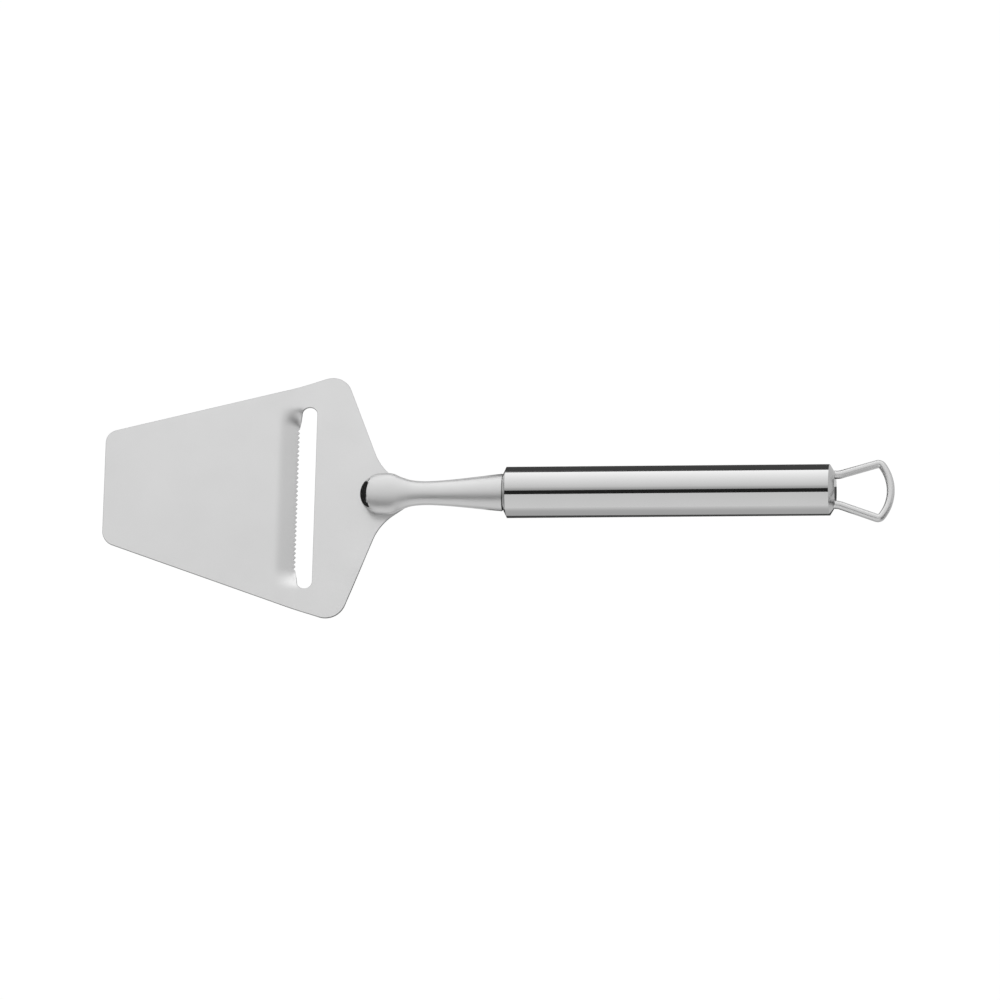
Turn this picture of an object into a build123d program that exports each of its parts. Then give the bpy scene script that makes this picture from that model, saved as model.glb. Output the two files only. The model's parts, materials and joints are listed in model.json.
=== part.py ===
from build123d import *
from math import atan2, degrees, radians, tan
import os

# Cheese slicer: a bent sheet blade with a cross slot and a serrated lip, a forged neck,
# a hollow round handle and a hanging loop. Lengths are in millimetres, angles in degrees.
# It is drawn with X along the handle from the blade's tip to the loop, Y across and Z up.
# X is zero at the blade's bend, and Z is zero in the middle of the sheet behind the bend.

# Blade outline, as full widths across and distances from the bend
SHEET = 1.0
TIP_LENGTH = 65.05
TIP_WIDTH = 39.05
BEND_WIDTH = 80.0
BEND_ANGLE = 12.0
SHOULDER_X = 14.9
SHOULDER_WIDTH = 89.6
THROAT_X = 28.5
THROAT_WIDTH = 20.0
TANG_X = 39.0
TANG_WIDTH = 5.6
TIP_CORNER = 4.8
SHOULDER_CORNER = 7.0
THROAT_CORNER = 19.0
TANG_CORNER = 1.5

# Joggle that lifts the tang towards the handle's axis
JOGGLE_START_X = 17.0
JOGGLE_END_X = 29.5
TANG_RISE = 0.8

# Slot and pressed lip
SLOT_LENGTH = 65.2
SLOT_FRONT_X = 0.5
SLOT_REAR_X = 5.8
LIP_EDGE_X = -0.4
LIP_REACH = 8.0
LIP_DROP = 2.4
LIP_SLOPE = 32.0
LIP_PRESS_BEND = 2.6
LIP_RUNOUT_STEPS = 4
GRIND_WIDTH = 0.9
GRIND_RUNOUT = 2.8
EDGE_THICKNESS = 0.25
TOOTH_PITCH = 1.6
TOOTH_DEPTH = 0.45
TOOTH_COUNT = 32

# Handle: tube and closures
TUBE_DIAMETER = 17.5
TUBE_WALL = 0.8
HANDLE_START_X = 71.35
HANDLE_LENGTH = 113.5
AXIS_HEIGHT = 4.31
FRONT_EDGE_AXIAL = 1.1
FRONT_EDGE_RADIAL = 2.3
REAR_EDGE_AXIAL = 1.9
REAR_EDGE_RADIAL = 3.0
FRONT_COLLAR_LENGTH = 2.6
REAR_COLLAR_LENGTH = 3.2
COLLAR_CLEARANCE = 0.05
HUB_DIAMETER = 11.0
HUB_LENGTH = 10.0
SEAL_THICKNESS = 0.45
SEAL_INSET = 0.25

# Neck: its foot, waist and shoulder, and the spigot in the handle
FOOT_X = 29.2
FOOT_RADIUS = 7.28
FOOT_CROWN = 3.0
FOOT_DEPTH = 5.0
FACET_INSET = 2.4
FACET_RADIUS = 11.0
FACET_ANGLE = 37.0
WAIST_X = 45.4
WAIST_WIDTH = 8.5
WAIST_THICKNESS = 4.7
SHOULDER_END_WIDTH = 13.2
SHOULDER_END_THICKNESS = 8.2
SPIGOT_DIAMETER = 7.0
SPIGOT_LENGTH = 16.0
SPIGOT_CLEARANCE = 0.03
SPIGOT_CHAMFER = 0.6
WELD_SIZE = 0.7

# Hanging loop, a bar with a rounded rectangular section
LOOP_BAR_WIDTH = 2.7
LOOP_BAR_THICKNESS = 2.9
LOOP_BAR_CORNER = 1.2
LOOP_LEG_SPACING = 10.7
LOOP_CORNER_REACH = 15.1
LOOP_CORNER_SPACING = 19.9
LOOP_REACH = 18.8
LOOP_LEG_BEND = 6.0
LOOP_CORNER_BEND = 1.7
LOOP_STRAIGHT = 1.2
LOOP_DROOP = 7.0
LEG_TAIL = 2.5
LEG_CLEARANCE = 0.03
LEG_WELD_SIZE = 0.9

OVERRUN = 5.0
CURVE_HALVINGS = 40

# Shares of the neck between foot and waist, and between waist and shoulder. Each row is the share of
# the way along, then the share of the change in width and of the change in thickness made by there.
FOOT_TO_WAIST_SHARES = (
    (0.15, -0.02, 0.02),
    (0.27, 0.11, 0.12),
    (0.40, 0.44, 0.40),
    (0.51, 0.66, 0.61),
    (0.62, 0.84, 0.80),
    (0.83, 0.98, 0.96),
)
WAIST_TO_SHOULDER_SHARES = (
    (0.16, 0.08, 0.07),
    (0.30, 0.20, 0.18),
    (0.57, 0.50, 0.47),
    (0.84, 0.83, 0.82),
)

TIP_RISE = TIP_LENGTH * tan(radians(BEND_ANGLE))
HALF_SHEET = SHEET / 2
LIP_LENGTH = TOOTH_COUNT * TOOTH_PITCH
SLOT_MIDDLE_X = (SLOT_FRONT_X + SLOT_REAR_X) / 2
GRIND_X = LIP_EDGE_X - GRIND_WIDTH
TUBE_RADIUS = TUBE_DIAMETER / 2
TUBE_BORE_RADIUS = TUBE_RADIUS - TUBE_WALL
COLLAR_RADIUS = TUBE_BORE_RADIUS - COLLAR_CLEARANCE
HANDLE_END_X = HANDLE_START_X + HANDLE_LENGTH
SHOULDER_END_X = HANDLE_START_X - SEAL_THICKNESS


def ellipse_share(share):
    """Share of the full height that an ellipse still has at a share of its half width."""
    return (1 - share ** 2) ** 0.5


def rear_edges(y, lift):
    """Side line of the sheet behind the slot, with the joggle up to the tang."""
    middle_x = (JOGGLE_START_X + JOGGLE_END_X) / 2
    ease = (
        (JOGGLE_START_X, 0),
        (middle_x, 0),
        (middle_x, TANG_RISE),
        (JOGGLE_END_X, TANG_RISE),
    )
    points = [Vector(x, y, z + lift) for x, z in ease]
    return [
        Edge.make_line(Vector(SLOT_MIDDLE_X, y, lift), points[0]),
        Edge.make_bezier(*points),
        Edge.make_line(points[-1], Vector(TANG_X + OVERRUN, y, TANG_RISE + lift)),
    ]


def pressed_curve(press):
    """Side line of the lip in the sheet's middle, pressed down by a share of its full drop."""
    slope = tan(radians(BEND_ANGLE))
    edge_slope = slope / 2 * (1 - press) + tan(radians(LIP_SLOPE)) * press
    edge_z = SLOT_MIDDLE_X * slope / 4 * (1 - press) - LIP_DROP * press
    return (
        (-LIP_REACH, LIP_REACH * slope),
        (-LIP_REACH + LIP_PRESS_BEND, (LIP_REACH - LIP_PRESS_BEND) * slope),
        (LIP_EDGE_X - LIP_PRESS_BEND, edge_z + LIP_PRESS_BEND * edge_slope),
        (LIP_EDGE_X, edge_z),
    )


def lip_height(x):
    """Height of the fully pressed lip's middle at x."""
    curve = pressed_curve(1)
    low, high = 0.0, 1.0
    for _ in range(CURVE_HALVINGS):
        share = (low + high) / 2
        weights = ((1 - share) ** 3, 3 * (1 - share) ** 2 * share, 3 * (1 - share) * share ** 2, share ** 3)
        place, height = (sum(w * point[axis] for w, point in zip(weights, curve)) for axis in (0, 1))
        if place < x:
            low = share
        else:
            high = share
    return height


def blade_section(y, press):
    """Side section of the sheet at y, with the lip pressed down by a share of its full drop."""
    curve = pressed_curve(press)
    press_start, before_edge, edge = curve[0], curve[2], curve[3]
    edge_slope = (before_edge[1] - edge[1]) / LIP_PRESS_BEND
    press_end = (SLOT_MIDDLE_X, 0)
    rear_reach = (SLOT_MIDDLE_X - LIP_EDGE_X) / 3
    after_edge = (LIP_EDGE_X + rear_reach, edge[1] - rear_reach * edge_slope * (1 - press))
    rear_handle = (SLOT_MIDDLE_X - rear_reach, 0)
    far_end = (TANG_X + OVERRUN, TANG_RISE)

    def point(place, lift):
        return Vector(place[0], y, place[1] + lift)

    def face_edges(lift):
        tip = point((-TIP_LENGTH, TIP_RISE), lift)
        return [
            Edge.make_line(tip, point(press_start, lift)),
            Edge.make_bezier(*[point(p, lift) for p in curve]),
            Edge.make_bezier(*[point(p, lift) for p in (edge, after_edge, rear_handle, press_end)]),
        ] + rear_edges(y, lift)

    ends = [
        Edge.make_line(point(far_end, HALF_SHEET), point(far_end, -HALF_SHEET)),
        Edge.make_line(point((-TIP_LENGTH, TIP_RISE), HALF_SHEET), point((-TIP_LENGTH, TIP_RISE), -HALF_SHEET)),
    ]
    return Wire(face_edges(HALF_SHEET) + face_edges(-HALF_SHEET) + ends)


def bent_sheet():
    """The whole bent sheet with its pressed lip, wider than the outline."""
    half_lip = LIP_LENGTH / 2
    half_slot = SLOT_LENGTH / 2
    half_width = SHOULDER_WIDTH / 2 + OVERRUN
    middle = extrude(Face(blade_section(-half_lip, 1)), LIP_LENGTH, dir=(0, 1, 0))
    sheet = Part() + middle
    for side in (-1, 1):
        steps = []
        for step in range(LIP_RUNOUT_STEPS + 1):
            share = step / LIP_RUNOUT_STEPS
            press = 1 - share ** 2 * (3 - 2 * share)
            steps.append(blade_section(side * (half_lip + share * (half_slot - half_lip)), press))
        sheet += Solid.make_loft(steps)
        flank = Face(blade_section(side * half_slot, 0))
        sheet += extrude(flank, half_width - half_slot, dir=(0, side, 0))
    return sheet


def blade_outline():
    """Plan outline of the blade, symmetric about the middle."""
    half = [
        (-TIP_LENGTH, TIP_WIDTH / 2),
        (0, BEND_WIDTH / 2),
        (SHOULDER_X, SHOULDER_WIDTH / 2),
        (THROAT_X, THROAT_WIDTH / 2),
        (TANG_X, TANG_WIDTH / 2),
    ]
    corners = half + [(x, -y) for x, y in reversed(half)]
    sketch = make_face(Polyline(*corners, close=True))

    def at(x):
        return [v for v in sketch.vertices() if abs(v.X - x) < HALF_SHEET]

    for x, radius in (
        (-TIP_LENGTH, TIP_CORNER),
        (SHOULDER_X, SHOULDER_CORNER),
        (THROAT_X, THROAT_CORNER),
        (TANG_X, TANG_CORNER),
    ):
        sketch = fillet(at(x), radius)
    return sketch


def slot_outline():
    """Plan outline of the slot: round ends, and a front edge that steps forward along the lip."""
    width = SLOT_REAR_X - SLOT_FRONT_X
    rounded = SlotOverall(SLOT_LENGTH, width, rotation=90)
    half_slot = SLOT_LENGTH / 2 - width / 2
    lip = Polyline(
        (SLOT_MIDDLE_X, -half_slot),
        (SLOT_FRONT_X, -half_slot),
        (LIP_EDGE_X, -LIP_LENGTH / 2),
        (LIP_EDGE_X, LIP_LENGTH / 2),
        (SLOT_FRONT_X, half_slot),
        (SLOT_MIDDLE_X, half_slot),
        close=True,
    )
    return Pos(SLOT_MIDDLE_X, 0) * rounded + make_face(lip)


def lip_grinding():
    """Space below the ground bevel that runs along the underside of the lip's cutting edge."""
    start = lip_height(GRIND_X) - HALF_SHEET
    edge = -LIP_DROP + HALF_SHEET - EDGE_THICKNESS
    reach = LIP_LENGTH / 2 + GRIND_RUNOUT
    profile = Polyline(
        (GRIND_X, -reach, start),
        (LIP_EDGE_X, -reach, edge),
        (SLOT_MIDDLE_X, -reach, edge),
        (SLOT_MIDDLE_X, -reach, start - SHEET),
        (GRIND_X, -reach, start - SHEET),
        close=True,
    )
    return extrude(make_face(profile), reach * 2, dir=(0, 1, 0))


def tooth_gaps():
    """The notches between the teeth of the lip."""
    depth = LIP_DROP + SHEET + OVERRUN
    notch = make_face(
        Polyline(
            (LIP_EDGE_X - TOOTH_DEPTH, 0),
            (LIP_EDGE_X, TOOTH_PITCH / 2),
            (SLOT_MIDDLE_X, TOOTH_PITCH / 2),
            (SLOT_MIDDLE_X, -TOOTH_PITCH / 2),
            (LIP_EDGE_X, -TOOTH_PITCH / 2),
            close=True,
        )
    )
    first = -LIP_LENGTH / 2 + TOOTH_PITCH / 2
    row = Sketch() + [Pos(0, first + n * TOOTH_PITCH) * notch for n in range(TOOTH_COUNT)]
    return extrude(row, depth, both=True)


def make_blade():
    """Blade: the bent sheet trimmed to its outline, slotted, ground and serrated."""
    height = TIP_RISE + OVERRUN
    blade = bent_sheet() & extrude(blade_outline(), height, both=True)
    blade -= extrude(slot_outline(), height, both=True)
    blade -= lip_grinding()
    return blade - tooth_gaps()


def oval(x, width, crown, depth):
    """Flat-oval section of the neck at x, with its own height above and below the handle's axis."""
    plane = Plane(origin=(x, 0, AXIS_HEIGHT), x_dir=(0, 1, 0), z_dir=(1, 0, 0))
    upper = EllipticalCenterArc((0, 0), width / 2, crown, start_angle=0, arc_size=180)
    lower = EllipticalCenterArc((0, 0), width / 2, depth, start_angle=180, arc_size=180)
    return plane * Wire([upper.edge(), lower.edge()])


def neck_stations():
    """Places, widths, crowns and depths of the neck's sections from foot to shoulder."""
    foot = (FOOT_X, FOOT_RADIUS * 2, FOOT_CROWN, FOOT_DEPTH)
    waist = (WAIST_X, WAIST_WIDTH, WAIST_THICKNESS / 2, WAIST_THICKNESS / 2)
    shoulder = (SHOULDER_END_X, SHOULDER_END_WIDTH, SHOULDER_END_THICKNESS / 2, SHOULDER_END_THICKNESS / 2)

    def between(start, end, shares):
        rows = []
        for along, wide, thick in shares:
            row = [a + (b - a) * share for a, b, share in zip(start, end, (along, wide, thick, thick))]
            rows.append(tuple(row))
        return rows

    return (
        [foot]
        + between(foot, waist, FOOT_TO_WAIST_SHARES)
        + [waist]
        + between(waist, shoulder, WAIST_TO_SHOULDER_SHARES)
        + [shoulder]
    )


def above_blade(lift):
    """Space above the sheet's upper face behind the slot, raised by a lift."""
    y = -FOOT_RADIUS - OVERRUN
    top = AXIS_HEIGHT + TUBE_RADIUS
    start = Vector(SLOT_MIDDLE_X, y, HALF_SHEET + lift)
    end = Vector(TANG_X + OVERRUN, y, TANG_RISE + HALF_SHEET + lift)
    frame = Edge.make_line(end, Vector(end.X, y, top))
    frame_top = Edge.make_line(Vector(end.X, y, top), Vector(start.X, y, top))
    frame_front = Edge.make_line(Vector(start.X, y, top), start)
    outline = Wire(rear_edges(y, HALF_SHEET + lift) + [frame, frame_top, frame_front])
    return extrude(Face(outline), -y * 2, dir=(0, 1, 0))


def rounded_foot(grow=0):
    """Round front end of the neck, crowned above and drawn in below, grown on all sides."""
    radius = FOOT_RADIUS + grow
    depth = FOOT_DEPTH + grow
    plane = Plane(origin=(FOOT_X, 0, AXIS_HEIGHT), x_dir=(0, 1, 0), z_dir=(1, 0, 0))
    upper = EllipticalCenterArc((0, 0), radius, FOOT_CROWN, start_angle=0, arc_size=90)
    lower = EllipticalCenterArc((0, 0), radius, depth, start_angle=270, arc_size=90)
    axis_line = Line((0, -depth), (0, FOOT_CROWN))
    half_section = plane * make_face([lower.edge(), upper.edge(), axis_line.edge()])
    return revolve(half_section, Axis((FOOT_X, 0, 0), (0, 0, 1)), 180)


def facet_limit():
    """Space in front of the waist that lies behind the foot's slanted facet."""
    facet_share = (FOOT_RADIUS - FACET_INSET) / FOOT_RADIUS
    facet_top = AXIS_HEIGHT + FOOT_CROWN * ellipse_share(facet_share)
    facet_axis_x = FOOT_X - FOOT_RADIUS + FACET_INSET + FACET_RADIUS
    widening = FOOT_DEPTH / tan(radians(FACET_ANGLE))
    cone = Cone(FACET_RADIUS + widening, FACET_RADIUS, FOOT_DEPTH, align=(Align.CENTER, Align.CENTER, Align.MAX))
    column = Cylinder(FACET_RADIUS, FOOT_CROWN, align=(Align.CENTER, Align.CENTER, Align.MIN))
    return Pos(facet_axis_x, 0, facet_top) * (cone + column)


def make_neck():
    """Neck: foot and lofted body, fitted to the blade's upper face, and its spigot."""
    sections = [oval(*station) for station in neck_stations()]
    body = Part() + Solid.make_loft(sections)
    body += rounded_foot() & facet_limit()
    tang_end = TANG_X + OVERRUN
    on_tang = body & above_blade(0)
    beyond = Box(HANDLE_START_X, TUBE_DIAMETER, TUBE_DIAMETER, align=(Align.MIN, Align.CENTER, Align.CENTER))
    body = on_tang + (body & Pos(tang_end, 0, AXIS_HEIGHT) * beyond)
    spigot = Cylinder(SPIGOT_DIAMETER / 2, SPIGOT_LENGTH, align=(Align.CENTER, Align.CENTER, Align.MIN))
    spigot = chamfer(spigot.edges().group_by(Axis.Z)[-1], SPIGOT_CHAMFER)
    return body + Pos(SHOULDER_END_X, 0, AXIS_HEIGHT) * Rot(0, 90, 0) * spigot


def make_neck_weld(neck):
    """Weld bead round the front of the neck's foot, on the blade's upper face."""
    bead = rounded_foot(WELD_SIZE) & above_blade(0)
    return bead - above_blade(WELD_SIZE) - neck


def cap_profile(edge_axial, edge_radial, collar_length):
    """Half section of a closure: bevelled outer edge, flange as wide as the tube, and collar."""
    outline = Polyline(
        (0, 0),
        (TUBE_RADIUS - edge_radial, 0),
        (TUBE_RADIUS, edge_axial),
        (COLLAR_RADIUS, edge_axial),
        (COLLAR_RADIUS, edge_axial + collar_length),
        (0, edge_axial + collar_length),
        close=True,
    )
    return make_face(outline)


def cap_blank(edge_axial, edge_radial, collar_length):
    """Solid closure that stands on its outer face, with its collar pointing up."""
    return revolve(Plane.XZ * cap_profile(edge_axial, edge_radial, collar_length), Axis.Z)


def make_front_cap():
    """Front closure with the long hub that holds the neck's spigot."""
    hub = Cylinder(HUB_DIAMETER / 2, HUB_LENGTH, align=(Align.CENTER, Align.CENTER, Align.MIN))
    bore = Cylinder(SPIGOT_DIAMETER / 2 + SPIGOT_CLEARANCE, (HUB_LENGTH + OVERRUN) * 2)
    cap = cap_blank(FRONT_EDGE_AXIAL, FRONT_EDGE_RADIAL, FRONT_COLLAR_LENGTH) + hub - bore
    return Pos(HANDLE_START_X, 0, AXIS_HEIGHT) * Rot(0, 90, 0) * cap


def make_front_seal():
    """Thin oval ring between the neck's shoulder and the front closure."""
    outer = Ellipse(
        SHOULDER_END_THICKNESS / 2 - SEAL_INSET,
        SHOULDER_END_WIDTH / 2 - SEAL_INSET,
    )
    ring = outer - Circle(SPIGOT_DIAMETER / 2 + SPIGOT_CLEARANCE)
    return Pos(SHOULDER_END_X, 0, AXIS_HEIGHT) * Rot(0, 90, 0) * extrude(ring, SEAL_THICKNESS)


def make_handle_tube():
    """Tube between the two closures."""
    length = HANDLE_LENGTH - FRONT_EDGE_AXIAL - REAR_EDGE_AXIAL
    ring = Circle(TUBE_RADIUS) - Circle(TUBE_BORE_RADIUS)
    tube = extrude(ring, length)
    return Pos(HANDLE_START_X + FRONT_EDGE_AXIAL, 0, AXIS_HEIGHT) * Rot(0, 90, 0) * tube


def loop_section(grow=0):
    """Section of the loop's bar, grown on all sides."""
    return RectangleRounded(
        LOOP_BAR_THICKNESS + grow * 2,
        LOOP_BAR_WIDTH + grow * 2,
        LOOP_BAR_CORNER + grow,
    )


def drooped():
    """Place of the loop, which hangs down a little from the middle of the handle's rear face."""
    return Pos(HANDLE_END_X, 0, AXIS_HEIGHT) * Rot(0, LOOP_DROOP, 0)


def along_leg(section, side):
    """Long bar with this section, in the place of the loop's leg on that side."""
    bar = extrude(section, TUBE_DIAMETER, both=True)
    return drooped() * Pos(0, side * LOOP_LEG_SPACING / 2, 0) * Rot(0, 90, 0) * bar


def make_rear_cap():
    """Rear closure with the two holes for the loop's legs."""
    blank = cap_blank(REAR_EDGE_AXIAL, REAR_EDGE_RADIAL, REAR_COLLAR_LENGTH)
    cap = Pos(HANDLE_END_X, 0, AXIS_HEIGHT) * Rot(0, -90, 0) * blank
    for side in (-1, 1):
        cap -= along_leg(loop_section(LEG_CLEARANCE), side)
    return cap


def loop_path():
    """Middle line of the loop's bar, from one leg's end round to the other's."""
    leg = LOOP_LEG_SPACING / 2
    corner = LOOP_CORNER_SPACING / 2
    inner_end = -REAR_EDGE_AXIAL - REAR_COLLAR_LENGTH - LEG_TAIL
    start = (inner_end, leg)
    bend = (LOOP_STRAIGHT, leg)
    outer = (LOOP_CORNER_REACH, corner)
    apex = (LOOP_REACH, 0)
    outline = [
        Line(start, bend),
        Line(bend, outer),
        ThreePointArc(outer, apex, (outer[0], -corner)),
        Line((outer[0], -corner), (bend[0], -leg)),
        Line((bend[0], -leg), (inner_end, -leg)),
    ]
    wire = Wire([piece.edge() for piece in outline])
    near_bend = [v for v in wire.vertices() if abs(v.X - bend[0]) < LOOP_STRAIGHT / 2]
    wire = wire.fillet_2d(LOOP_LEG_BEND, near_bend)
    near_corner = [v for v in wire.vertices() if abs(v.X - outer[0]) < LOOP_STRAIGHT / 2]
    return wire.fillet_2d(LOOP_CORNER_BEND, near_corner)


def make_hanging_loop():
    """Bar bent into the loop, with both legs reaching into the handle."""
    path = loop_path()
    start = path @ 0
    plane = Plane(origin=start, x_dir=(0, 0, 1), z_dir=(1, 0, 0))
    return drooped() * sweep(plane * loop_section(), path=path)


def make_loop_welds():
    """Weld beads that hold the loop's legs on the rear closure's inner face."""
    seat_x = HANDLE_END_X - REAR_EDGE_AXIAL - REAR_COLLAR_LENGTH
    slice_box = Box(LEG_WELD_SIZE, TUBE_DIAMETER, TUBE_DIAMETER, align=(Align.MAX, Align.CENTER, Align.CENTER))
    beads = Part()
    for side in (-1, 1):
        beads += along_leg(loop_section(LEG_WELD_SIZE) - loop_section(), side)
    return beads & Pos(seat_x, 0, AXIS_HEIGHT) * slice_box


def rest_tilt():
    """Angle of the handle above the table when the slicer lies on its lip and the tube's front."""
    lip_bottom = lip_height(GRIND_X) - HALF_SHEET
    tube_bottom = AXIS_HEIGHT - TUBE_RADIUS
    reach = HANDLE_START_X + FRONT_EDGE_AXIAL - GRIND_X
    return degrees(atan2(lip_bottom - tube_bottom, reach))


def main():
    neck = make_neck()
    pieces = {
        "blade": make_blade(),
        "neck": neck,
        "neck_weld": make_neck_weld(neck),
        "front_seal": make_front_seal(),
        "front_cap": make_front_cap(),
        "handle_tube": make_handle_tube(),
        "rear_cap": make_rear_cap(),
        "hanging_loop": make_hanging_loop(),
        "loop_welds": make_loop_welds(),
    }
    turned = {name: Rot(0, -rest_tilt(), 0) * piece for name, piece in pieces.items()}
    box = Compound([solid for piece in turned.values() for solid in piece.solids()]).bounding_box()
    rest = Rot(0, -rest_tilt(), 0) * Pos(HANDLE_START_X + FRONT_EDGE_AXIAL, 0, AXIS_HEIGHT - TUBE_RADIUS)
    to_table = Pos(-box.center().X, -box.center().Y, -rest.position.Z)
    os.makedirs("parts", exist_ok=True)
    for name, piece in turned.items():
        placed = to_table * piece
        placed.label = name
        export_step(placed, f"parts/{name}.step")


main()
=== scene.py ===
"""Cheese slicer of stainless steel: a bent blade with a serrated slot, a forged neck, a polished
round handle and a hanging loop.

The classes hold their sizes in millimetres in the drawing frame: X runs along the handle from the
blade's bend, Y across, and Z up from the middle of the sheet behind the bend. RestPose carries a
finished mesh from there to its place on the table, in metres. The studio is in metres throughout.
"""

import json
import logging
from dataclasses import dataclass
from enum import Enum
from math import acos, atan2, ceil, cos, degrees, hypot, pi, radians, sin, sqrt, tan

import bmesh
import bpy
from bpy.types import ID, Material, Mesh, Node, NodesModifier, NodeSocket, NodeTree, Object
from mathutils import Euler, Matrix, Vector
from mathutils.geometry import delaunay_2d_cdt
from mathutils.kdtree import KDTree

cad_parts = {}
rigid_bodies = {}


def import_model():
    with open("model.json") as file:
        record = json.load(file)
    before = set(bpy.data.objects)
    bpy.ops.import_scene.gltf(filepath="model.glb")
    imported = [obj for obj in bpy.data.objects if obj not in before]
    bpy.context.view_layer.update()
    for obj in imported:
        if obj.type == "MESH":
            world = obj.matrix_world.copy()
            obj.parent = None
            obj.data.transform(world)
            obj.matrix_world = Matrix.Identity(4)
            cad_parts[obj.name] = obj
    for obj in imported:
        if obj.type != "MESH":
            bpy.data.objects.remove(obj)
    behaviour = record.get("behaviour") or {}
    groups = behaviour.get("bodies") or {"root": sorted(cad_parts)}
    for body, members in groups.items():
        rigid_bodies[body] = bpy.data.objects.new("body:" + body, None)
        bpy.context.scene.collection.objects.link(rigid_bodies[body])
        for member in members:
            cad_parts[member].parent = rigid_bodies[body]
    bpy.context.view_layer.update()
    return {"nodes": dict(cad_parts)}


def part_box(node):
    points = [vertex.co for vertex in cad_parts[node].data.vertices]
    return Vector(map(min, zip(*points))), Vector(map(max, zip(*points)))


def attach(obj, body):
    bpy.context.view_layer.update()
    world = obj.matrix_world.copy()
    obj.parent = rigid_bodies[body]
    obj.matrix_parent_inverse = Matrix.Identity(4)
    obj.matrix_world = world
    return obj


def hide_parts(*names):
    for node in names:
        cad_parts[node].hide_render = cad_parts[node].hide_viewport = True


LOG = logging.getLogger("slicer")
MM = 0.001
# Keeps a whole number of steps from being rounded up to one more.
COUNT_SLACK = 1e-6
# Kind of triangulation that keeps only the triangles within the outlines.
FILL_INSIDE = 1

Point2 = tuple[float, float]
Point3 = tuple[float, float, float]
Ring = list[Point3]
Inputs = dict[str, object]


# Nodes and colours


def linear_colour(code: str) -> tuple[float, float, float, float]:
    """Turn an sRGB hex colour into the linear values that the shaders use.

    Args:
        code: Colour as six hex digits after a hash mark.

    Returns:
        Linear red, green, blue and an alpha of one.
    """
    parts = [int(code[place : place + 2], 16) / 255 for place in (1, 3, 5)]
    red, green, blue = (p / 12.92 if p <= 0.04045 else ((p + 0.055) / 1.055) ** 2.4 for p in parts)
    return red, green, blue, 1.0


def add_node(tree: NodeTree, kind: str, inputs: Inputs | None = None, **settings: object) -> Node:
    """Add a node with its settings, its input values and its links.

    Args:
        tree: Shader or geometry tree that gets the node.
        kind: Blender's name for the kind of node.
        inputs: Values, output sockets or nodes, by the identifier or the name of the input. A node
            stands for its first output in use.
        settings: Properties of the node itself.

    Returns:
        The new node.
    """
    node = tree.nodes.new(kind)
    for name, value in settings.items():
        setattr(node, name, value)
    for key, value in (inputs or {}).items():
        by_identifier = [s for s in node.inputs if s.identifier == key]
        socket = (by_identifier or [s for s in node.inputs if s.name == key])[0]
        if isinstance(value, Node):
            value = next(s for s in value.outputs if s.enabled)
        if isinstance(value, NodeSocket):
            tree.links.new(value, socket)
        else:
            socket.default_value = value
    return node


def empty_material(name: str) -> tuple[Material, NodeTree]:
    """Make a material whose node tree is still empty.

    Args:
        name: Name of the finish.

    Returns:
        The material and its tree.
    """
    material = bpy.data.materials.new(name)
    material.use_nodes = True
    material.node_tree.nodes.clear()
    return material, material.node_tree


class GrainRun(Enum):
    """Which way a finish's grain runs, as scales of its pattern along X, Y and Z."""

    EVEN = (1.0, 1.0, 1.0)
    LENGTHWISE = (0.06, 1.0, 1.0)
    CROSSWISE = (1.0, 0.08, 1.0)


@dataclass(frozen=True)
class Finish:
    """One finish of the slicer: two colours that drift into each other, and how rough it is."""

    name: str
    colour: str
    cloud_colour: str
    roughness: float

    def material(self) -> Material:
        """Return the finish as a material, which is made only once."""
        return bpy.data.materials.get(self.name) or self.make()

    def make(self) -> Material:
        """Build the finish's shader.

        Returns:
            The new material.
        """
        material, tree = empty_material(self.name)
        clouds, inputs = self.patterns(tree, add_node(tree, "ShaderNodeTexCoord").outputs["Object"])
        colours = {
            "Factor_Float": clouds,
            "A_Color": linear_colour(self.colour),
            "B_Color": linear_colour(self.cloud_colour),
        }
        colour = add_node(tree, "ShaderNodeMix", colours, data_type="RGBA")
        shader = add_node(tree, "ShaderNodeBsdfPrincipled", {"Base Color": colour, **inputs})
        add_node(tree, "ShaderNodeOutputMaterial", {"Surface": shader})
        return material

    def patterns(self, tree: NodeTree, place: NodeSocket) -> tuple[Node, Inputs]:
        """Add the nodes of the finish's patterns.

        Args:
            tree: The material's tree.
            place: Socket that gives the place on the piece.

        Returns:
            The noise that mixes the colours, and the shader's other inputs.
        """
        raise NotImplementedError


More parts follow.
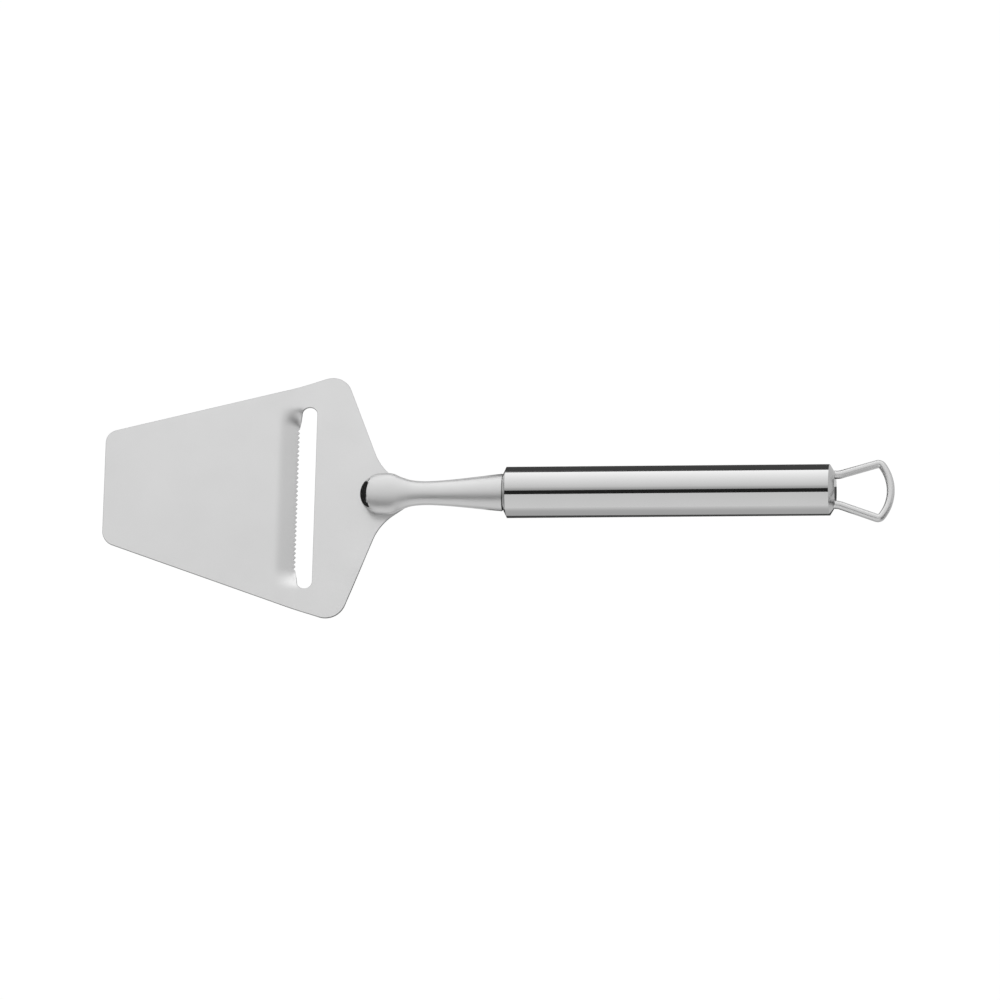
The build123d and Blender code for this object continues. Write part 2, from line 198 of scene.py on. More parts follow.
@dataclass(frozen=True)
class Steel(Finish):
    """One finish of the slicer's stainless steel. Sizes are in millimetres.

    The grain is the fine relief of the last working step, and the waves are the slow unevenness
    that pressing, forging or polishing leaves, which bends the long reflections a little. The
    details are how fine each noise gets, and the blend values are what grain and clouds mostly
    come to when they are added. Real scratches are under a tenth of a millimetre wide, too fine to
    show, so the grain is drawn coarser.
    """

    roughness_spread: float
    grain: float
    grain_relief: float
    wave: float
    wave_relief: float
    run: GrainRun = GrainRun.EVEN
    cloud: float = 18.0
    cloud_detail: float = 3.0
    grain_detail: float = 4.0
    wave_detail: float = 1.0
    low_blend: float = 0.7
    high_blend: float = 1.3

    def patterns(self, tree: NodeTree, place: NodeSocket) -> tuple[Node, Inputs]:
        """Add the steel's clouds, grain and waves.

        Args:
            tree: The material's tree.
            place: Socket that gives the place on the piece.

        Returns:
            The noise that mixes the colours, and the shader's other inputs.
        """
        along = add_node(tree, "ShaderNodeMapping", {"Vector": place, "Scale": self.run.value})
        noises = []
        for vector, size, detail in (
            (place, self.cloud, self.cloud_detail),
            (along, self.grain, self.grain_detail),
            (place, self.wave, self.wave_detail),
        ):
            inputs = {"Vector": vector, "Scale": 1 / (size * MM), "Detail": detail}
            noises.append(add_node(tree, "ShaderNodeTexNoise", inputs))
        cloud, grain, wave = noises
        blend = add_node(tree, "ShaderNodeMath", {"Value": grain, "Value_001": cloud}, operation="ADD")
        roughness = add_node(
            tree,
            "ShaderNodeMapRange",
            {
                "Value": blend,
                "From Min": self.low_blend,
                "From Max": self.high_blend,
                "To Min": self.roughness - self.roughness_spread,
                "To Max": self.roughness + self.roughness_spread,
            },
        )
        waves = add_node(tree, "ShaderNodeBump", {"Height": wave, "Distance": self.wave_relief * MM})
        grooves = {"Height": grain, "Distance": self.grain_relief * MM, "Normal": waves}
        relief = add_node(tree, "ShaderNodeBump", grooves)
        return cloud, {"Metallic": 1.0, "Roughness": roughness, "Normal": relief}


@dataclass(frozen=True)
class Sealant(Finish):
    """Dark elastic joint filler, pressed into its gap and wiped off. Sizes are in millimetres."""

    grain: float
    grain_relief: float
    grain_detail: float = 3.0

    def patterns(self, tree: NodeTree, place: NodeSocket) -> tuple[Node, Inputs]:
        """Add the filler's rubbery grain.

        Args:
            tree: The material's tree.
            place: Socket that gives the place on the piece.

        Returns:
            The noise that mixes the colours, and the shader's other inputs.
        """
        inputs = {"Vector": place, "Scale": 1 / (self.grain * MM), "Detail": self.grain_detail}
        grain = add_node(tree, "ShaderNodeTexNoise", inputs)
        relief = add_node(tree, "ShaderNodeBump", {"Height": grain, "Distance": self.grain_relief * MM})
        return grain, {"Roughness": self.roughness, "Normal": relief}


# Stainless sheet 18/10, tumbled to an even satin: a soft grey sheen without any clear reflection.
SATIN_SHEET = Steel(
    "satin_stainless_sheet", "#E5E5E5", "#E0E0E0", roughness=0.36, roughness_spread=0.03,
    grain=0.35, grain_relief=0.0006, wave=14, wave_relief=0.004,
)
# Sheared and lightly deburred edge of the sheet: rougher and darker than its faces.
SHEARED_EDGE = Steel(
    "sheared_stainless_edge", "#B4B4B4", "#A4A4A4", roughness=0.40, roughness_spread=0.06,
    grain=0.25, grain_relief=0.004, wave=4, wave_relief=0.002, run=GrainRun.CROSSWISE,
)
# Ground bevel and tooth gaps: streaky wheel marks across the edge, brighter than the sheared one.
GROUND_EDGE = Steel(
    "ground_stainless_edge", "#CDCDCD", "#BEBEBE", roughness=0.30, roughness_spread=0.06,
    grain=0.20, grain_relief=0.003, wave=4, wave_relief=0.002, run=GrainRun.CROSSWISE,
)
# Drop-forged stainless, belt finished and buffed: soft long reflections that run along the neck.
BUFFED_FORGING = Steel(
    "buffed_stainless_forging", "#DBDBDB", "#D5D5D5", roughness=0.38, roughness_spread=0.03,
    grain=0.30, grain_relief=0.0005, wave=9, wave_relief=0.003, run=GrainRun.LENGTHWISE,
)
# The foot's slanted facet, polished on a hard wheel: a flat mirror that shows the dark studio end.
FACET_POLISH = Steel(
    "wheel_polished_facet", "#D2D2D2", "#CCCCCC", roughness=0.08, roughness_spread=0.01,
    grain=0.25, grain_relief=0.0002, wave=8, wave_relief=0.0005,
)
# Weld bead of the same steel, brushed clean: small ripples and a faint straw tint from the heat.
BRUSHED_WELD = Steel(
    "brushed_weld_bead", "#D2D0CC", "#C6C3BD", roughness=0.34, roughness_spread=0.06,
    grain=0.25, grain_relief=0.006, wave=2, wave_relief=0.01,
)
# Drawn tube, mirror polished: sharp long reflections that waver slightly along the handle.
MIRROR_TUBE = Steel(
    "mirror_polished_tube", "#D6D6D6", "#D1D1D1", roughness=0.05, roughness_spread=0.012,
    grain=0.40, grain_relief=0.00008, wave=16, wave_relief=0.0006, run=GrainRun.LENGTHWISE,
)
# Turned closures, polished after they are welded on: reflections a little softer than the tube's.
MIRROR_CAP = Steel(
    "mirror_polished_closure", "#D6D6D6", "#D0D0D0", roughness=0.13, roughness_spread=0.02,
    grain=0.30, grain_relief=0.0001, wave=12, wave_relief=0.0005,
)
# Drawn bar, bent and tumbled: satin all round, a shade darker than the sheet.
SATIN_BAR = Steel(
    "satin_stainless_bar", "#DEDEDE", "#D8D8D8", roughness=0.34, roughness_spread=0.04,
    grain=0.30, grain_relief=0.0008, wave=8, wave_relief=0.002,
)
# Black joint filler between the neck and the handle: matt, with a fine rubbery grain.
JOINT_FILLER = Sealant(
    "black_joint_filler", "#1C1C1D", "#2B2B2C", roughness=0.55, grain=0.25, grain_relief=0.01
)


# Plain geometry


def bezier_point(points: tuple[Point2, ...], share: float) -> Point2:
    """Point of a cubic Bezier curve.

    Args:
        points: The four control points.
        share: Place along the curve, from 0 to 1.

    Returns:
        The point.
    """
    rest = 1 - share
    weights = (rest**3, 3 * rest**2 * share, 3 * rest * share**2, share**3)
    x, z = (sum(w * p[axis] for w, p in zip(weights, points)) for axis in (0, 1))
    return x, z


def bezier_height(points: tuple[Point2, ...], x: float, halvings: int = 26) -> float:
    """Height at x of a cubic Bezier curve that always runs forward in x.

    Args:
        points: The four control points.
        x: Place at which the height is wanted.
        halvings: How often the search interval is halved.

    Returns:
        The height.
    """
    low, high = 0.0, 1.0
    for _ in range(halvings):
        middle = (low + high) / 2
        if bezier_point(points, middle)[0] < x:
            low = middle
        else:
            high = middle
    return bezier_point(points, low)[1]


def arc_points(centre: Point2, radius: float, start: float, end: float, step: float) -> list[Point2]:
    """Points along an arc, both ends included.

    Args:
        centre: Middle of the arc.
        radius: Radius of the arc.
        start: First angle in radians.
        end: Last angle in radians.
        step: Longest distance between two points.

    Returns:
        The points in order.
    """
    count = max(2, ceil(abs(end - start) * radius / step))
    angles = [start + (end - start) * n / count for n in range(count + 1)]
    return [(centre[0] + radius * cos(a), centre[1] + radius * sin(a)) for a in angles]


def rounded_corner(
    before: Point2, corner: Point2, after: Point2, radius: float, step: float
) -> list[Point2]:
    """Points of the arc that rounds a corner between two straight sides.

    Args:
        before: A point on the side that leads to the corner.
        corner: The sharp corner.
        after: A point on the side that leaves it.
        radius: Radius of the rounding.
        step: Longest distance between two points.

    Returns:
        The arc's points, from its tangent point on the first side to the one on the second.
    """
    tip = Vector(corner)
    inward = (Vector(before) - tip).normalized()
    outward = (Vector(after) - tip).normalized()
    half_angle = acos(max(-1.0, min(1.0, inward.dot(outward)))) / 2
    centre = tip + (inward + outward).normalized() * radius / sin(half_angle)
    first = tip + inward * radius / tan(half_angle) - centre
    last = tip + outward * radius / tan(half_angle) - centre
    start = atan2(first.y, first.x)
    turn = (atan2(last.y, last.x) - start + pi) % (2 * pi) - pi
    return arc_points((centre.x, centre.y), radius, start, start + turn, step)


def rounded_polygon(corners: list[Point2], radii: list[float], step: float) -> list[Point2]:
    """Outline of a closed polygon with rounded corners.

    Args:
        corners: The sharp corners in order.
        radii: Radius at each corner, zero for a sharp one.
        step: Longest distance between two points of an arc.

    Returns:
        The outline's points in order.
    """
    outline = []
    count = len(corners)
    for n, (corner, radius) in enumerate(zip(corners, radii)):
        if radius:
            outline += rounded_corner(corners[n - 1], corner, corners[(n + 1) % count], radius, step)
        else:
            outline.append(corner)
    return outline


def subdivided(outline: list[Point2], step: float) -> list[Point2]:
    """Add points on a closed outline's sides.

    Args:
        outline: Points in order.
        step: Longest distance that may remain between two points.

    Returns:
        The points with those added.
    """
    result = []
    for start, end in zip(outline, outline[1:] + outline[:1]):
        count = max(1, ceil(hypot(end[0] - start[0], end[1] - start[1]) / step - COUNT_SLACK))
        for n in range(count):
            share = n / count
            result.append((start[0] + (end[0] - start[0]) * share, start[1] + (end[1] - start[1]) * share))
    return result


def inset(outline: list[Point2], depths: list[float]) -> list[Point2]:
    """Move each point of a closed outline to its left.

    Args:
        outline: Points in order, with the kept side on the left.
        depths: How far each point moves.

    Returns:
        The moved points.
    """
    moved = []
    count = len(outline)
    for n, (point, depth) in enumerate(zip(outline, depths)):
        along = Vector(outline[(n + 1) % count]) - Vector(outline[n - 1])
        along.normalize()
        moved.append((point[0] - along.y * depth, point[1] + along.x * depth))
    return moved


def inside(point: Point2, outline: list[Point2]) -> bool:
    """Tell whether a point lies within a closed outline.

    Args:
        point: The point.
        outline: The outline's points in order.

    Returns:
        True within the outline.
    """
    within = False
    for start, end in zip(outline, outline[1:] + outline[:1]):
        if (start[1] > point[1]) != (end[1] > point[1]):
            crossing = start[0] + (point[1] - start[1]) * (end[0] - start[0]) / (end[1] - start[1])
            if point[0] < crossing:
                within = not within
    return within


def middle_of(triangle: list[int], places: list[Point2]) -> Point2:
    """Middle of a triangle between numbered places."""
    x, y = (sum(places[n][axis] for n in triangle) / 3 for axis in (0, 1))
    return x, y


def spaced(start: float, end: float, step: float) -> list[float]:
    """Evenly spaced values from start to end, with both ends."""
    count = max(1, round((end - start) / step))
    return [start + (end - start) * n / count for n in range(count + 1)]


def rounded_rectangle(width: float, height: float, radius: float, step: float = 0.12) -> list[Point2]:
    """Outline of a rectangle with rounded corners, centred on zero.

    Args:
        width: Size along the first axis.
        height: Size along the second axis.
        radius: Radius of the corners.
        step: Longest distance between two points of a corner.

    Returns:
        The outline's points in order.
    """
    corners = [(x * width / 2, y * height / 2) for x, y in ((1, -1), (1, 1), (-1, 1), (-1, -1))]
    return rounded_polygon(corners, [radius] * len(corners), step)


def mesh_of(name: str, points: list[Point3], faces: list[tuple[int, ...]]) -> Mesh:
    """Make a mesh from points and faces.

    Args:
        name: Name of the mesh.
        points: The points.
        faces: Indices of each face's points.

    Returns:
        The mesh.
    """
    mesh = bpy.data.meshes.new(name)
    mesh.from_pydata(points, [], faces)
    mesh.update()
    return mesh


def skin(name: str, rings: list[Ring], closed: bool = False) -> Mesh:
    """Cover a row of rings, each with as many points, as one closed shell.

    Args:
        name: Name of the mesh.
        rings: Rings of points in order.
        closed: Whether the last ring leads back to the first. If not, both ends get a face.

    Returns:
        The mesh, with its normals outwards.
    """
    count = len(rings[0])
    points = [point for ring in rings for point in ring]
    faces = []
    steps = len(rings) if closed else len(rings) - 1
    for ring in range(steps):
        here = ring * count
        there = (ring + 1) % len(rings) * count
        for n in range(count):
            after = (n + 1) % count
            faces.append((here + n, here + after, there + after, there + n))
    if not closed:
        last = (len(rings) - 1) * count
        faces.append(tuple(range(count)))
        faces.append(tuple(last + n for n in range(count)))
    return mended(mesh_of(name, points, faces))


def mended(mesh: Mesh, merge: float = 0.0005) -> Mesh:
    """Merge doubled points of a closed mesh and turn its faces outwards.

    Args:
        mesh: The mesh in millimetres, which is changed.
        merge: Distance within which points are one.

    Returns:
        The same mesh.
    """
    work = bmesh.new()
    work.from_mesh(mesh)
    bmesh.ops.remove_doubles(work, verts=work.verts, dist=merge)
    bmesh.ops.dissolve_degenerate(work, edges=work.edges, dist=merge / 10)
    bmesh.ops.recalc_face_normals(work, faces=work.faces)
    work.to_mesh(mesh)
    work.free()
    mesh.update()
    return mesh


# Geometry Nodes


def new_tree(name: str, sockets: dict[str, str]) -> NodeTree:
    """Start a Geometry Nodes tree with named inputs and one geometry output.

    Args:
        name: Name of the tree.
        sockets: Kind of each input socket, by its name.

    Returns:
        The tree.
    """
    tree = bpy.data.node_groups.new(name, "GeometryNodeTree")
    for label, kind in sockets.items():
        tree.interface.new_socket(label, in_out="INPUT", socket_type=kind)
    tree.interface.new_socket("Geometry", in_out="OUTPUT", socket_type="NodeSocketGeometry")
    return tree


def end_tree(tree: NodeTree, geometry: Node, finish: NodeSocket, selection: object = True) -> None:
    """End a tree in real geometry with its finish.

    Args:
        tree: Geometry Nodes tree.
        geometry: Node that gives the finished shape.
        finish: Socket that gives its material.
        selection: Which faces get the material.
    """
    real = add_node(tree, "GeometryNodeRealizeInstances", {"Geometry": geometry})
    inputs = {"Geometry": real, "Selection": selection, "Material": finish}
    finished = add_node(tree, "GeometryNodeSetMaterial", inputs)
    add_node(tree, "NodeGroupOutput", {"Geometry": finished})


def sweep_tree() -> NodeTree:
    """Tree that carries a closed section along a path, with ripples in its size if they are asked for.

    Returns:
        The tree, which is made only once.
    """
    name = "section_along_path"
    if name in bpy.data.node_groups:
        return bpy.data.node_groups[name]
    tree = new_tree(
        name,
        {
            "Path": "NodeSocketObject",
            "Section": "NodeSocketObject",
            "Fill Ends": "NodeSocketBool",
            "Ripples": "NodeSocketFloat",
            "Ripple Share": "NodeSocketFloat",
            "Finish": "NodeSocketMaterial",
        },
    )
    given = add_node(tree, "NodeGroupInput").outputs
    path, section = (
        add_node(tree, "GeometryNodeObjectInfo", {"Object": given[label]}).outputs["Geometry"]
        for label in ("Path", "Section")
    )
    upright = add_node(tree, "GeometryNodeSetCurveNormal", {"Curve": path}, mode="Z_UP")
    factor = add_node(tree, "GeometryNodeSplineParameter").outputs["Factor"]
    place = {"Value": factor, "Value_001": given["Ripples"]}
    turns = add_node(tree, "ShaderNodeMath", place, operation="MULTIPLY")
    angle = add_node(tree, "ShaderNodeMath", {"Value": turns, "Value_001": 2 * pi}, operation="MULTIPLY")
    wave = add_node(tree, "ShaderNodeMath", {"Value": angle}, operation="SINE")
    ripple = {"Value": wave, "Value_001": given["Ripple Share"], "Value_002": 1.0}
    size = add_node(tree, "ShaderNodeMath", ripple, operation="MULTIPLY_ADD")
    swept = add_node(
        tree,
        "GeometryNodeCurveToMesh",
        {"Curve": upright, "Profile Curve": section, "Scale": size, "Fill Caps": given["Fill Ends"]},
    )
    end_tree(tree, swept, given["Finish"])
    return tree


def serration_tree() -> NodeTree:
    """Tree that cuts a row of tooth gaps into the sheet that it is given.

    Returns:
        The tree.
    """
    tree = new_tree(
        "row_of_tooth_gaps",
        {
            "Geometry": "NodeSocketGeometry",
            "Gap Count": "NodeSocketInt",
            "First Gap": "NodeSocketVector",
            "Pitch": "NodeSocketVector",
            "Gap Size": "NodeSocketVector",
            "Finish": "NodeSocketMaterial",
        },
    )
    given = add_node(tree, "NodeGroupInput").outputs
    line = {"Count": given["Gap Count"], "Start Location": given["First Gap"], "Offset": given["Pitch"]}
    row = add_node(tree, "GeometryNodeMeshLine", line, mode="OFFSET")
    # A cube on its edge with a diagonal of 2. Scaled, its half diagonals are a gap's depth and half width.
    bar = add_node(tree, "GeometryNodeMeshCube", {"Size": (sqrt(2), sqrt(2), 1.0)})
    turned = add_node(tree, "GeometryNodeTransform", {"Geometry": bar, "Rotation": (0.0, 0.0, pi / 4)})
    copies = {"Points": row, "Instance": turned, "Scale": given["Gap Size"]}
    gaps = add_node(tree, "GeometryNodeInstanceOnPoints", copies)
    separate = add_node(tree, "GeometryNodeRealizeInstances", {"Geometry": gaps})
    marked = add_node(
        tree,
        "GeometryNodeStoreNamedAttribute",
        {"Geometry": separate, "Name": "in_gap", "Value": True},
        data_type="BOOLEAN",
        domain="FACE",
    )
    cut = add_node(
        tree,
        "GeometryNodeMeshBoolean",
        {"Mesh 1": given["Geometry"], "Mesh 2": marked},
        operation="DIFFERENCE",
        solver="EXACT",
    )
    in_gap = add_node(tree, "GeometryNodeInputNamedAttribute", {"Name": "in_gap"}, data_type="BOOLEAN")
    end_tree(tree, cut, given["Finish"], in_gap)
    return tree


def set_inputs(modifier: NodesModifier, values: Inputs) -> None:
    """Set a modifier's inputs, found by name, through their sockets' identifiers.

    Args:
        modifier: Geometry Nodes modifier.
        values: Value of each input, by its name.
    """
    for item in modifier.node_group.interface.items_tree:
        if item.in_out == "INPUT" and item.name in values:
            modifier[item.identifier] = values[item.name]


def show(name: str, data: ID) -> Object:
    """Put a mesh, curve or camera into the scene.

    Args:
        name: Name of the object.
        data: Its mesh, curve or camera.

    Returns:
        The object.
    """
    made = bpy.data.objects.new(name, data)
    bpy.context.scene.collection.objects.link(made)
    return made


def settled(worker: Object, *helpers: Object) -> Mesh:
    """Turn an object with live modifiers into a plain mesh, and remove the object and its helpers.

    Args:
        worker: Object with the modifiers.
        helpers: Objects that the modifiers read.

    Returns:
        The plain mesh.
    """
    depsgraph = bpy.context.evaluated_depsgraph_get()
    mesh = bpy.data.meshes.new_from_object(worker.evaluated_get(depsgraph), depsgraph=depsgraph)
    for used in (worker, *helpers):
        bpy.data.objects.remove(used)
    return mesh


def line_object(name: str, points: list[Point3], closed: bool) -> Object:
    """Make a curve object that runs straight from point to point.

    Args:
        name: Name of the object.
        points: The points in order.
        closed: Whether the line leads back to its start.

    Returns:
        The object.
    """
    curve = bpy.data.curves.new(name, "CURVE")
    curve.dimensions = "3D"
    spline = curve.splines.new("POLY")
    spline.points.add(len(points) - 1)
    for target, point in zip(spline.points, points):
        target.co = (*point, 1.0)
    spline.use_cyclic_u = closed
    return show(name, curve)


def sweep(
    name: str,
    path: list[Point3],
    section: list[Point2],
    finish: Material,
    closed: bool = False,
    ripples: float = 0.0,
    ripple_share: float = 0.0,
) -> Mesh:
    """Carry a closed section along a path that lies flat.

    Args:
        name: Name of the mesh.
        path: The path's points. For a path that turns left, the section's first axis points outwards.
        section: The section's points, with its second axis pointing down.
        finish: Material of the result.
        closed: Whether the path is closed. If not, its ends are filled.
        ripples: Number of ripples along the path.
        ripple_share: Height of the ripples as a share of the section.

    Returns:
        The mesh.
    """
    path_line = line_object(f"{name}_path", path, closed)
    section_line = line_object(f"{name}_section", [(x, y, 0.0) for x, y in section], True)
    worker = show(name, bpy.data.meshes.new(name))
    modifier = worker.modifiers.new("sweep", "NODES")
    modifier.node_group = sweep_tree()
    set_inputs(
        modifier,
        {
            "Path": path_line,
            "Section": section_line,
            "Fill Ends": not closed,
            "Ripples": ripples,
            "Ripple Share": ripple_share,
            "Finish": finish,
        },
    )
    return mended(settled(worker, path_line, section_line))


def turn(name: str, outline: list[Point2], finish: Material, segments: int) -> Mesh:
    """Turn a half section round the X axis, as on a lathe.

    Args:
        name: Name of the mesh.
        outline: Closed half section, as places along the axis and radii.
        finish: Material of the result.
        segments: Number of steps round the axis.

    Returns:
        The mesh.
    """
    circle = arc_points((0.0, 0.0), 1.0, 0.0, 2 * pi, 2 * pi / segments)[:-1]
    section = [(radius - 1.0, -along) for along, radius in outline]
    mesh = sweep(name, [(x, y, 0.0) for x, y in circle], section, finish, closed=True)
    mesh.transform(Matrix.Rotation(pi / 2, 4, "Y"))
    return mesh


def without(mesh: Mesh, cutters: list[Mesh]) -> Mesh:
    """Take closed cutters out of a closed mesh.

    Args:
        mesh: The mesh that is cut.
        cutters: Meshes of the space that is taken away. The cut faces keep their material numbers.

    Returns:
        The cut mesh.
    """
    worker = show("worker", mesh)
    helpers = []
    for cutter in cutters:
        helper = show("cutter", cutter)
        modifier = worker.modifiers.new("cut", "BOOLEAN")
        modifier.operation = "DIFFERENCE"
        modifier.solver = "EXACT"
        modifier.object = helper
        helpers.append(helper)
    return settled(worker, *helpers)


# Placement


@dataclass(frozen=True)
class RestPose:
    """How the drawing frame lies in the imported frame: tilted onto its lip and tube, and in metres."""

    tilt: float
    shift: Vector

    def matrix(self) -> Matrix:
        """Return the matrix from drawing millimetres to packed metres."""
        turned = Matrix.Rotation(-self.tilt, 4, "Y") @ Matrix.Scale(MM, 4)
        return Matrix.Translation(self.shift) @ turned

    def place(self, mesh: Mesh, name: str, slot: str, node: str, sharp_angle: float) -> None:
        """Shade a finished mesh smoothly and put it on the slicer in place of its CAD node.

        Args:
            mesh: Mesh in drawing millimetres.
            name: Name of the piece.
            slot: The record's material slot. Not used.
            node: CAD node that the piece stands for.
            sharp_angle: Turn in degrees beyond which an edge stays sharp.
        """
        mesh.shade_smooth()
        mesh.set_sharp_from_angle(angle=radians(sharp_angle))
        mesh.transform(self.matrix())
        mesh.name = name
        piece = show(name, mesh)
        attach(piece, "root")
        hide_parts(node)
        finishes = ", ".join(material.name for material in mesh.materials)
        LOG.info("%s: %d faces, %s", name, len(mesh.polygons), finishes)


# Sub-assemblies


@dataclass(frozen=True)
class Blade:
    """Stamped and bent sheet with its slot, the pressed lip with its teeth, and the raised tang.

    Widths are full widths, places are distances from the bend, and angles are in degrees. The
    steps, rows, margins and the clearance from an edge lay out the mesh.
    """

    sheet: float = 1.0
    tip_length: float = 65.05
    tip_width: float = 39.05
    bend_width: float = 80.0
    bend_angle: float = 12.0
    shoulder_x: float = 14.9
    shoulder_width: float = 89.6
    throat_x: float = 28.5
    throat_width: float = 20.0
    tang_x: float = 39.0
    tang_width: float = 5.6
    tip_corner: float = 4.8
    shoulder_corner: float = 7.0
    throat_corner: float = 19.0
    tang_corner: float = 1.5
    joggle_start_x: float = 17.0
    joggle_end_x: float = 29.5
    tang_rise: float = 0.8
    slot_length: float = 65.2
    slot_front_x: float = 0.5
    slot_rear_x: float = 5.8
    lip_edge_x: float = -0.4
    lip_reach: float = 8.0
    lip_drop: float = 2.4
    lip_slope: float = 32.0
    press_bend: float = 2.6
    grind_width: float = 0.9
    grind_runout: float = 2.8
    edge_thickness: float = 0.25
    tooth_pitch: float = 1.6
    tooth_depth: float = 0.75
    tooth_count: int = 32
    tooth_gap_share: float = 0.85
    arris: float = 0.1
    lip_arris: float = 0.03
    edge_step: float = 0.8
    rim_step: float = 0.4
    fine_step: float = 0.5
    coarse_step: float = 3.0
    corner_step: float = 0.5
    fine_rows_before: int = 15
    fine_rows_behind: int = 17
    joggle_margin: float = 1.0
    slot_margin: float = 2.0
    outer_margin: float = 3.0
    clearance_share: float = 0.6
    merge: float = 1e-5
    gap_height: float = 3.0
    sharp_angle: float = 16.0

    @property
    def half_lip(self) -> float:
        """Half the length of the serrated edge."""
        return self.tooth_count * self.tooth_pitch / 2

    @property
    def slot_middle_x(self) -> float:
        """Middle line of the slot's round ends."""
        return (self.slot_front_x + self.slot_rear_x) / 2

    @property
    def grind_x(self) -> float:
        """Place where the ground bevel of the lip begins."""
        return self.lip_edge_x - self.grind_width

    def press(self, y: float) -> float:
        """Share of its full drop that the lip has at y, fading out towards the slot's ends.

        Args:
            y: Distance from the middle line.

        Returns:
            One where the lip is fully pressed, down to nought at the slot's ends.
        """
        share = (abs(y) - self.half_lip) / (self.slot_length / 2 - self.half_lip)
        share = max(0.0, min(1.0, share))
        return 1 - share**2 * (3 - 2 * share)

    def joggle(self, x: float) -> float:
        """Height of the sheet's middle behind the slot, where it steps up to the tang.

        Args:
            x: Distance from the bend.

        Returns:
            The height.
        """
        if x <= self.joggle_start_x:
            return 0.0
        if x >= self.joggle_end_x:
            return self.tang_rise
        middle_x = (self.joggle_start_x + self.joggle_end_x) / 2
        ease = (
            (self.joggle_start_x, 0.0),
            (middle_x, 0.0),
            (middle_x, self.tang_rise),
            (self.joggle_end_x, self.tang_rise),
        )
        return bezier_height(ease, x)

    def middle(self, x: float, y: float) -> float:
        """Height of the middle of the sheet.

        Args:
            x: Distance from the bend.
            y: Distance from the middle line.

        Returns:
            The height.
        """
        slope = tan(radians(self.bend_angle))
        if x <= -self.lip_reach:
            return -x * slope
        if x >= self.slot_middle_x:
            return self.joggle(x)
        press = self.press(y)
        # Where nothing is pressed, the sheet still has half its slope here and bends on to the flat.
        edge_slope = slope / 2 * (1 - press) + tan(radians(self.lip_slope)) * press
        edge_z = self.slot_middle_x * slope / 4 * (1 - press) - self.lip_drop * press
        edge = (self.lip_edge_x, edge_z)
        if x < self.lip_edge_x:
            start = (-self.lip_reach, self.lip_reach * slope)
            after_start = (start[0] + self.press_bend, start[1] - self.press_bend * slope)
            before_edge = (edge[0] - self.press_bend, edge_z + self.press_bend * edge_slope)
            return bezier_height((start, after_start, before_edge, edge), x)
        reach = (self.slot_middle_x - self.lip_edge_x) / 3
        after_edge = (edge[0] + reach, edge_z - reach * edge_slope * (1 - press))
        rear = (self.slot_middle_x, 0.0)
        return bezier_height((edge, after_edge, (rear[0] - reach, 0.0), rear), x)

    def top(self, x: float, y: float) -> float:
        """Height of the upper face."""
        return self.middle(x, y) + self.sheet / 2

    @property
    def grind_z(self) -> float:
        """Height at which the ground bevel of the lip begins, the sheet's lowest line."""
        return self.middle(self.grind_x, 0.0) - self.sheet / 2

    def bottom(self, x: float, y: float) -> float:
        """Height of the lower face, with the lip's ground bevel.

        Args:
            x: Distance from the bend.
            y: Distance from the middle line.

        Returns:
            The height.
        """
        face = self.middle(x, y) - self.sheet / 2
        if not self.ground(x, y):
            return face
        edge = -self.lip_drop + self.sheet / 2 - self.edge_thickness
        share = min(1.0, (x - self.grind_x) / self.grind_width)
        return max(face, self.grind_z + (edge - self.grind_z) * share)

    def outline(self) -> list[Point2]:
        """Plan outline of the sheet, with the sheet on its left.

        Returns:
            The outline's points in order.
        """
        front = [
            (-self.tip_length, -self.tip_width / 2, self.tip_corner),
            (0.0, -self.bend_width / 2, 0.0),
            (self.shoulder_x, -self.shoulder_width / 2, self.shoulder_corner),
            (self.throat_x, -self.throat_width / 2, self.throat_corner),
            (self.tang_x, -self.tang_width / 2, self.tang_corner),
        ]
        corners = front + [(x, -y, radius) for x, y, radius in reversed(front)]
        places = [(x, y) for x, y, _ in corners]
        radii = [radius for *_, radius in corners]
        return subdivided(rounded_polygon(places, radii, self.corner_step), self.edge_step)

    def slot_rim(self) -> list[Point2]:
        """Plan outline of the slot, with the sheet on its left.

        Returns:
            The rim's points in order.
        """
        end_radius = (self.slot_rear_x - self.slot_front_x) / 2
        end_y = self.slot_length / 2 - end_radius
        far = arc_points((self.slot_middle_x, end_y), end_radius, 0.0, pi, self.rim_step)
        near = arc_points((self.slot_middle_x, -end_y), end_radius, pi, 2 * pi, self.rim_step)
        lip = [(self.lip_edge_x, self.half_lip), (self.lip_edge_x, -self.half_lip)]
        return subdivided(far + lip + near, self.rim_step)[::-1]

    def ground(self, x: float, y: float) -> bool:
        """Tell whether a place is over the ground bevel of the lip's underside."""
        return self.grind_x <= x <= self.slot_middle_x and abs(y) <= self.half_lip + self.grind_runout

    def arrises(self, outline: list[Point2]) -> list[float]:
        """Size of the softened edge at each point of an outline."""
        return [self.lip_arris if self.ground(x, y) else self.arris for x, y in outline]

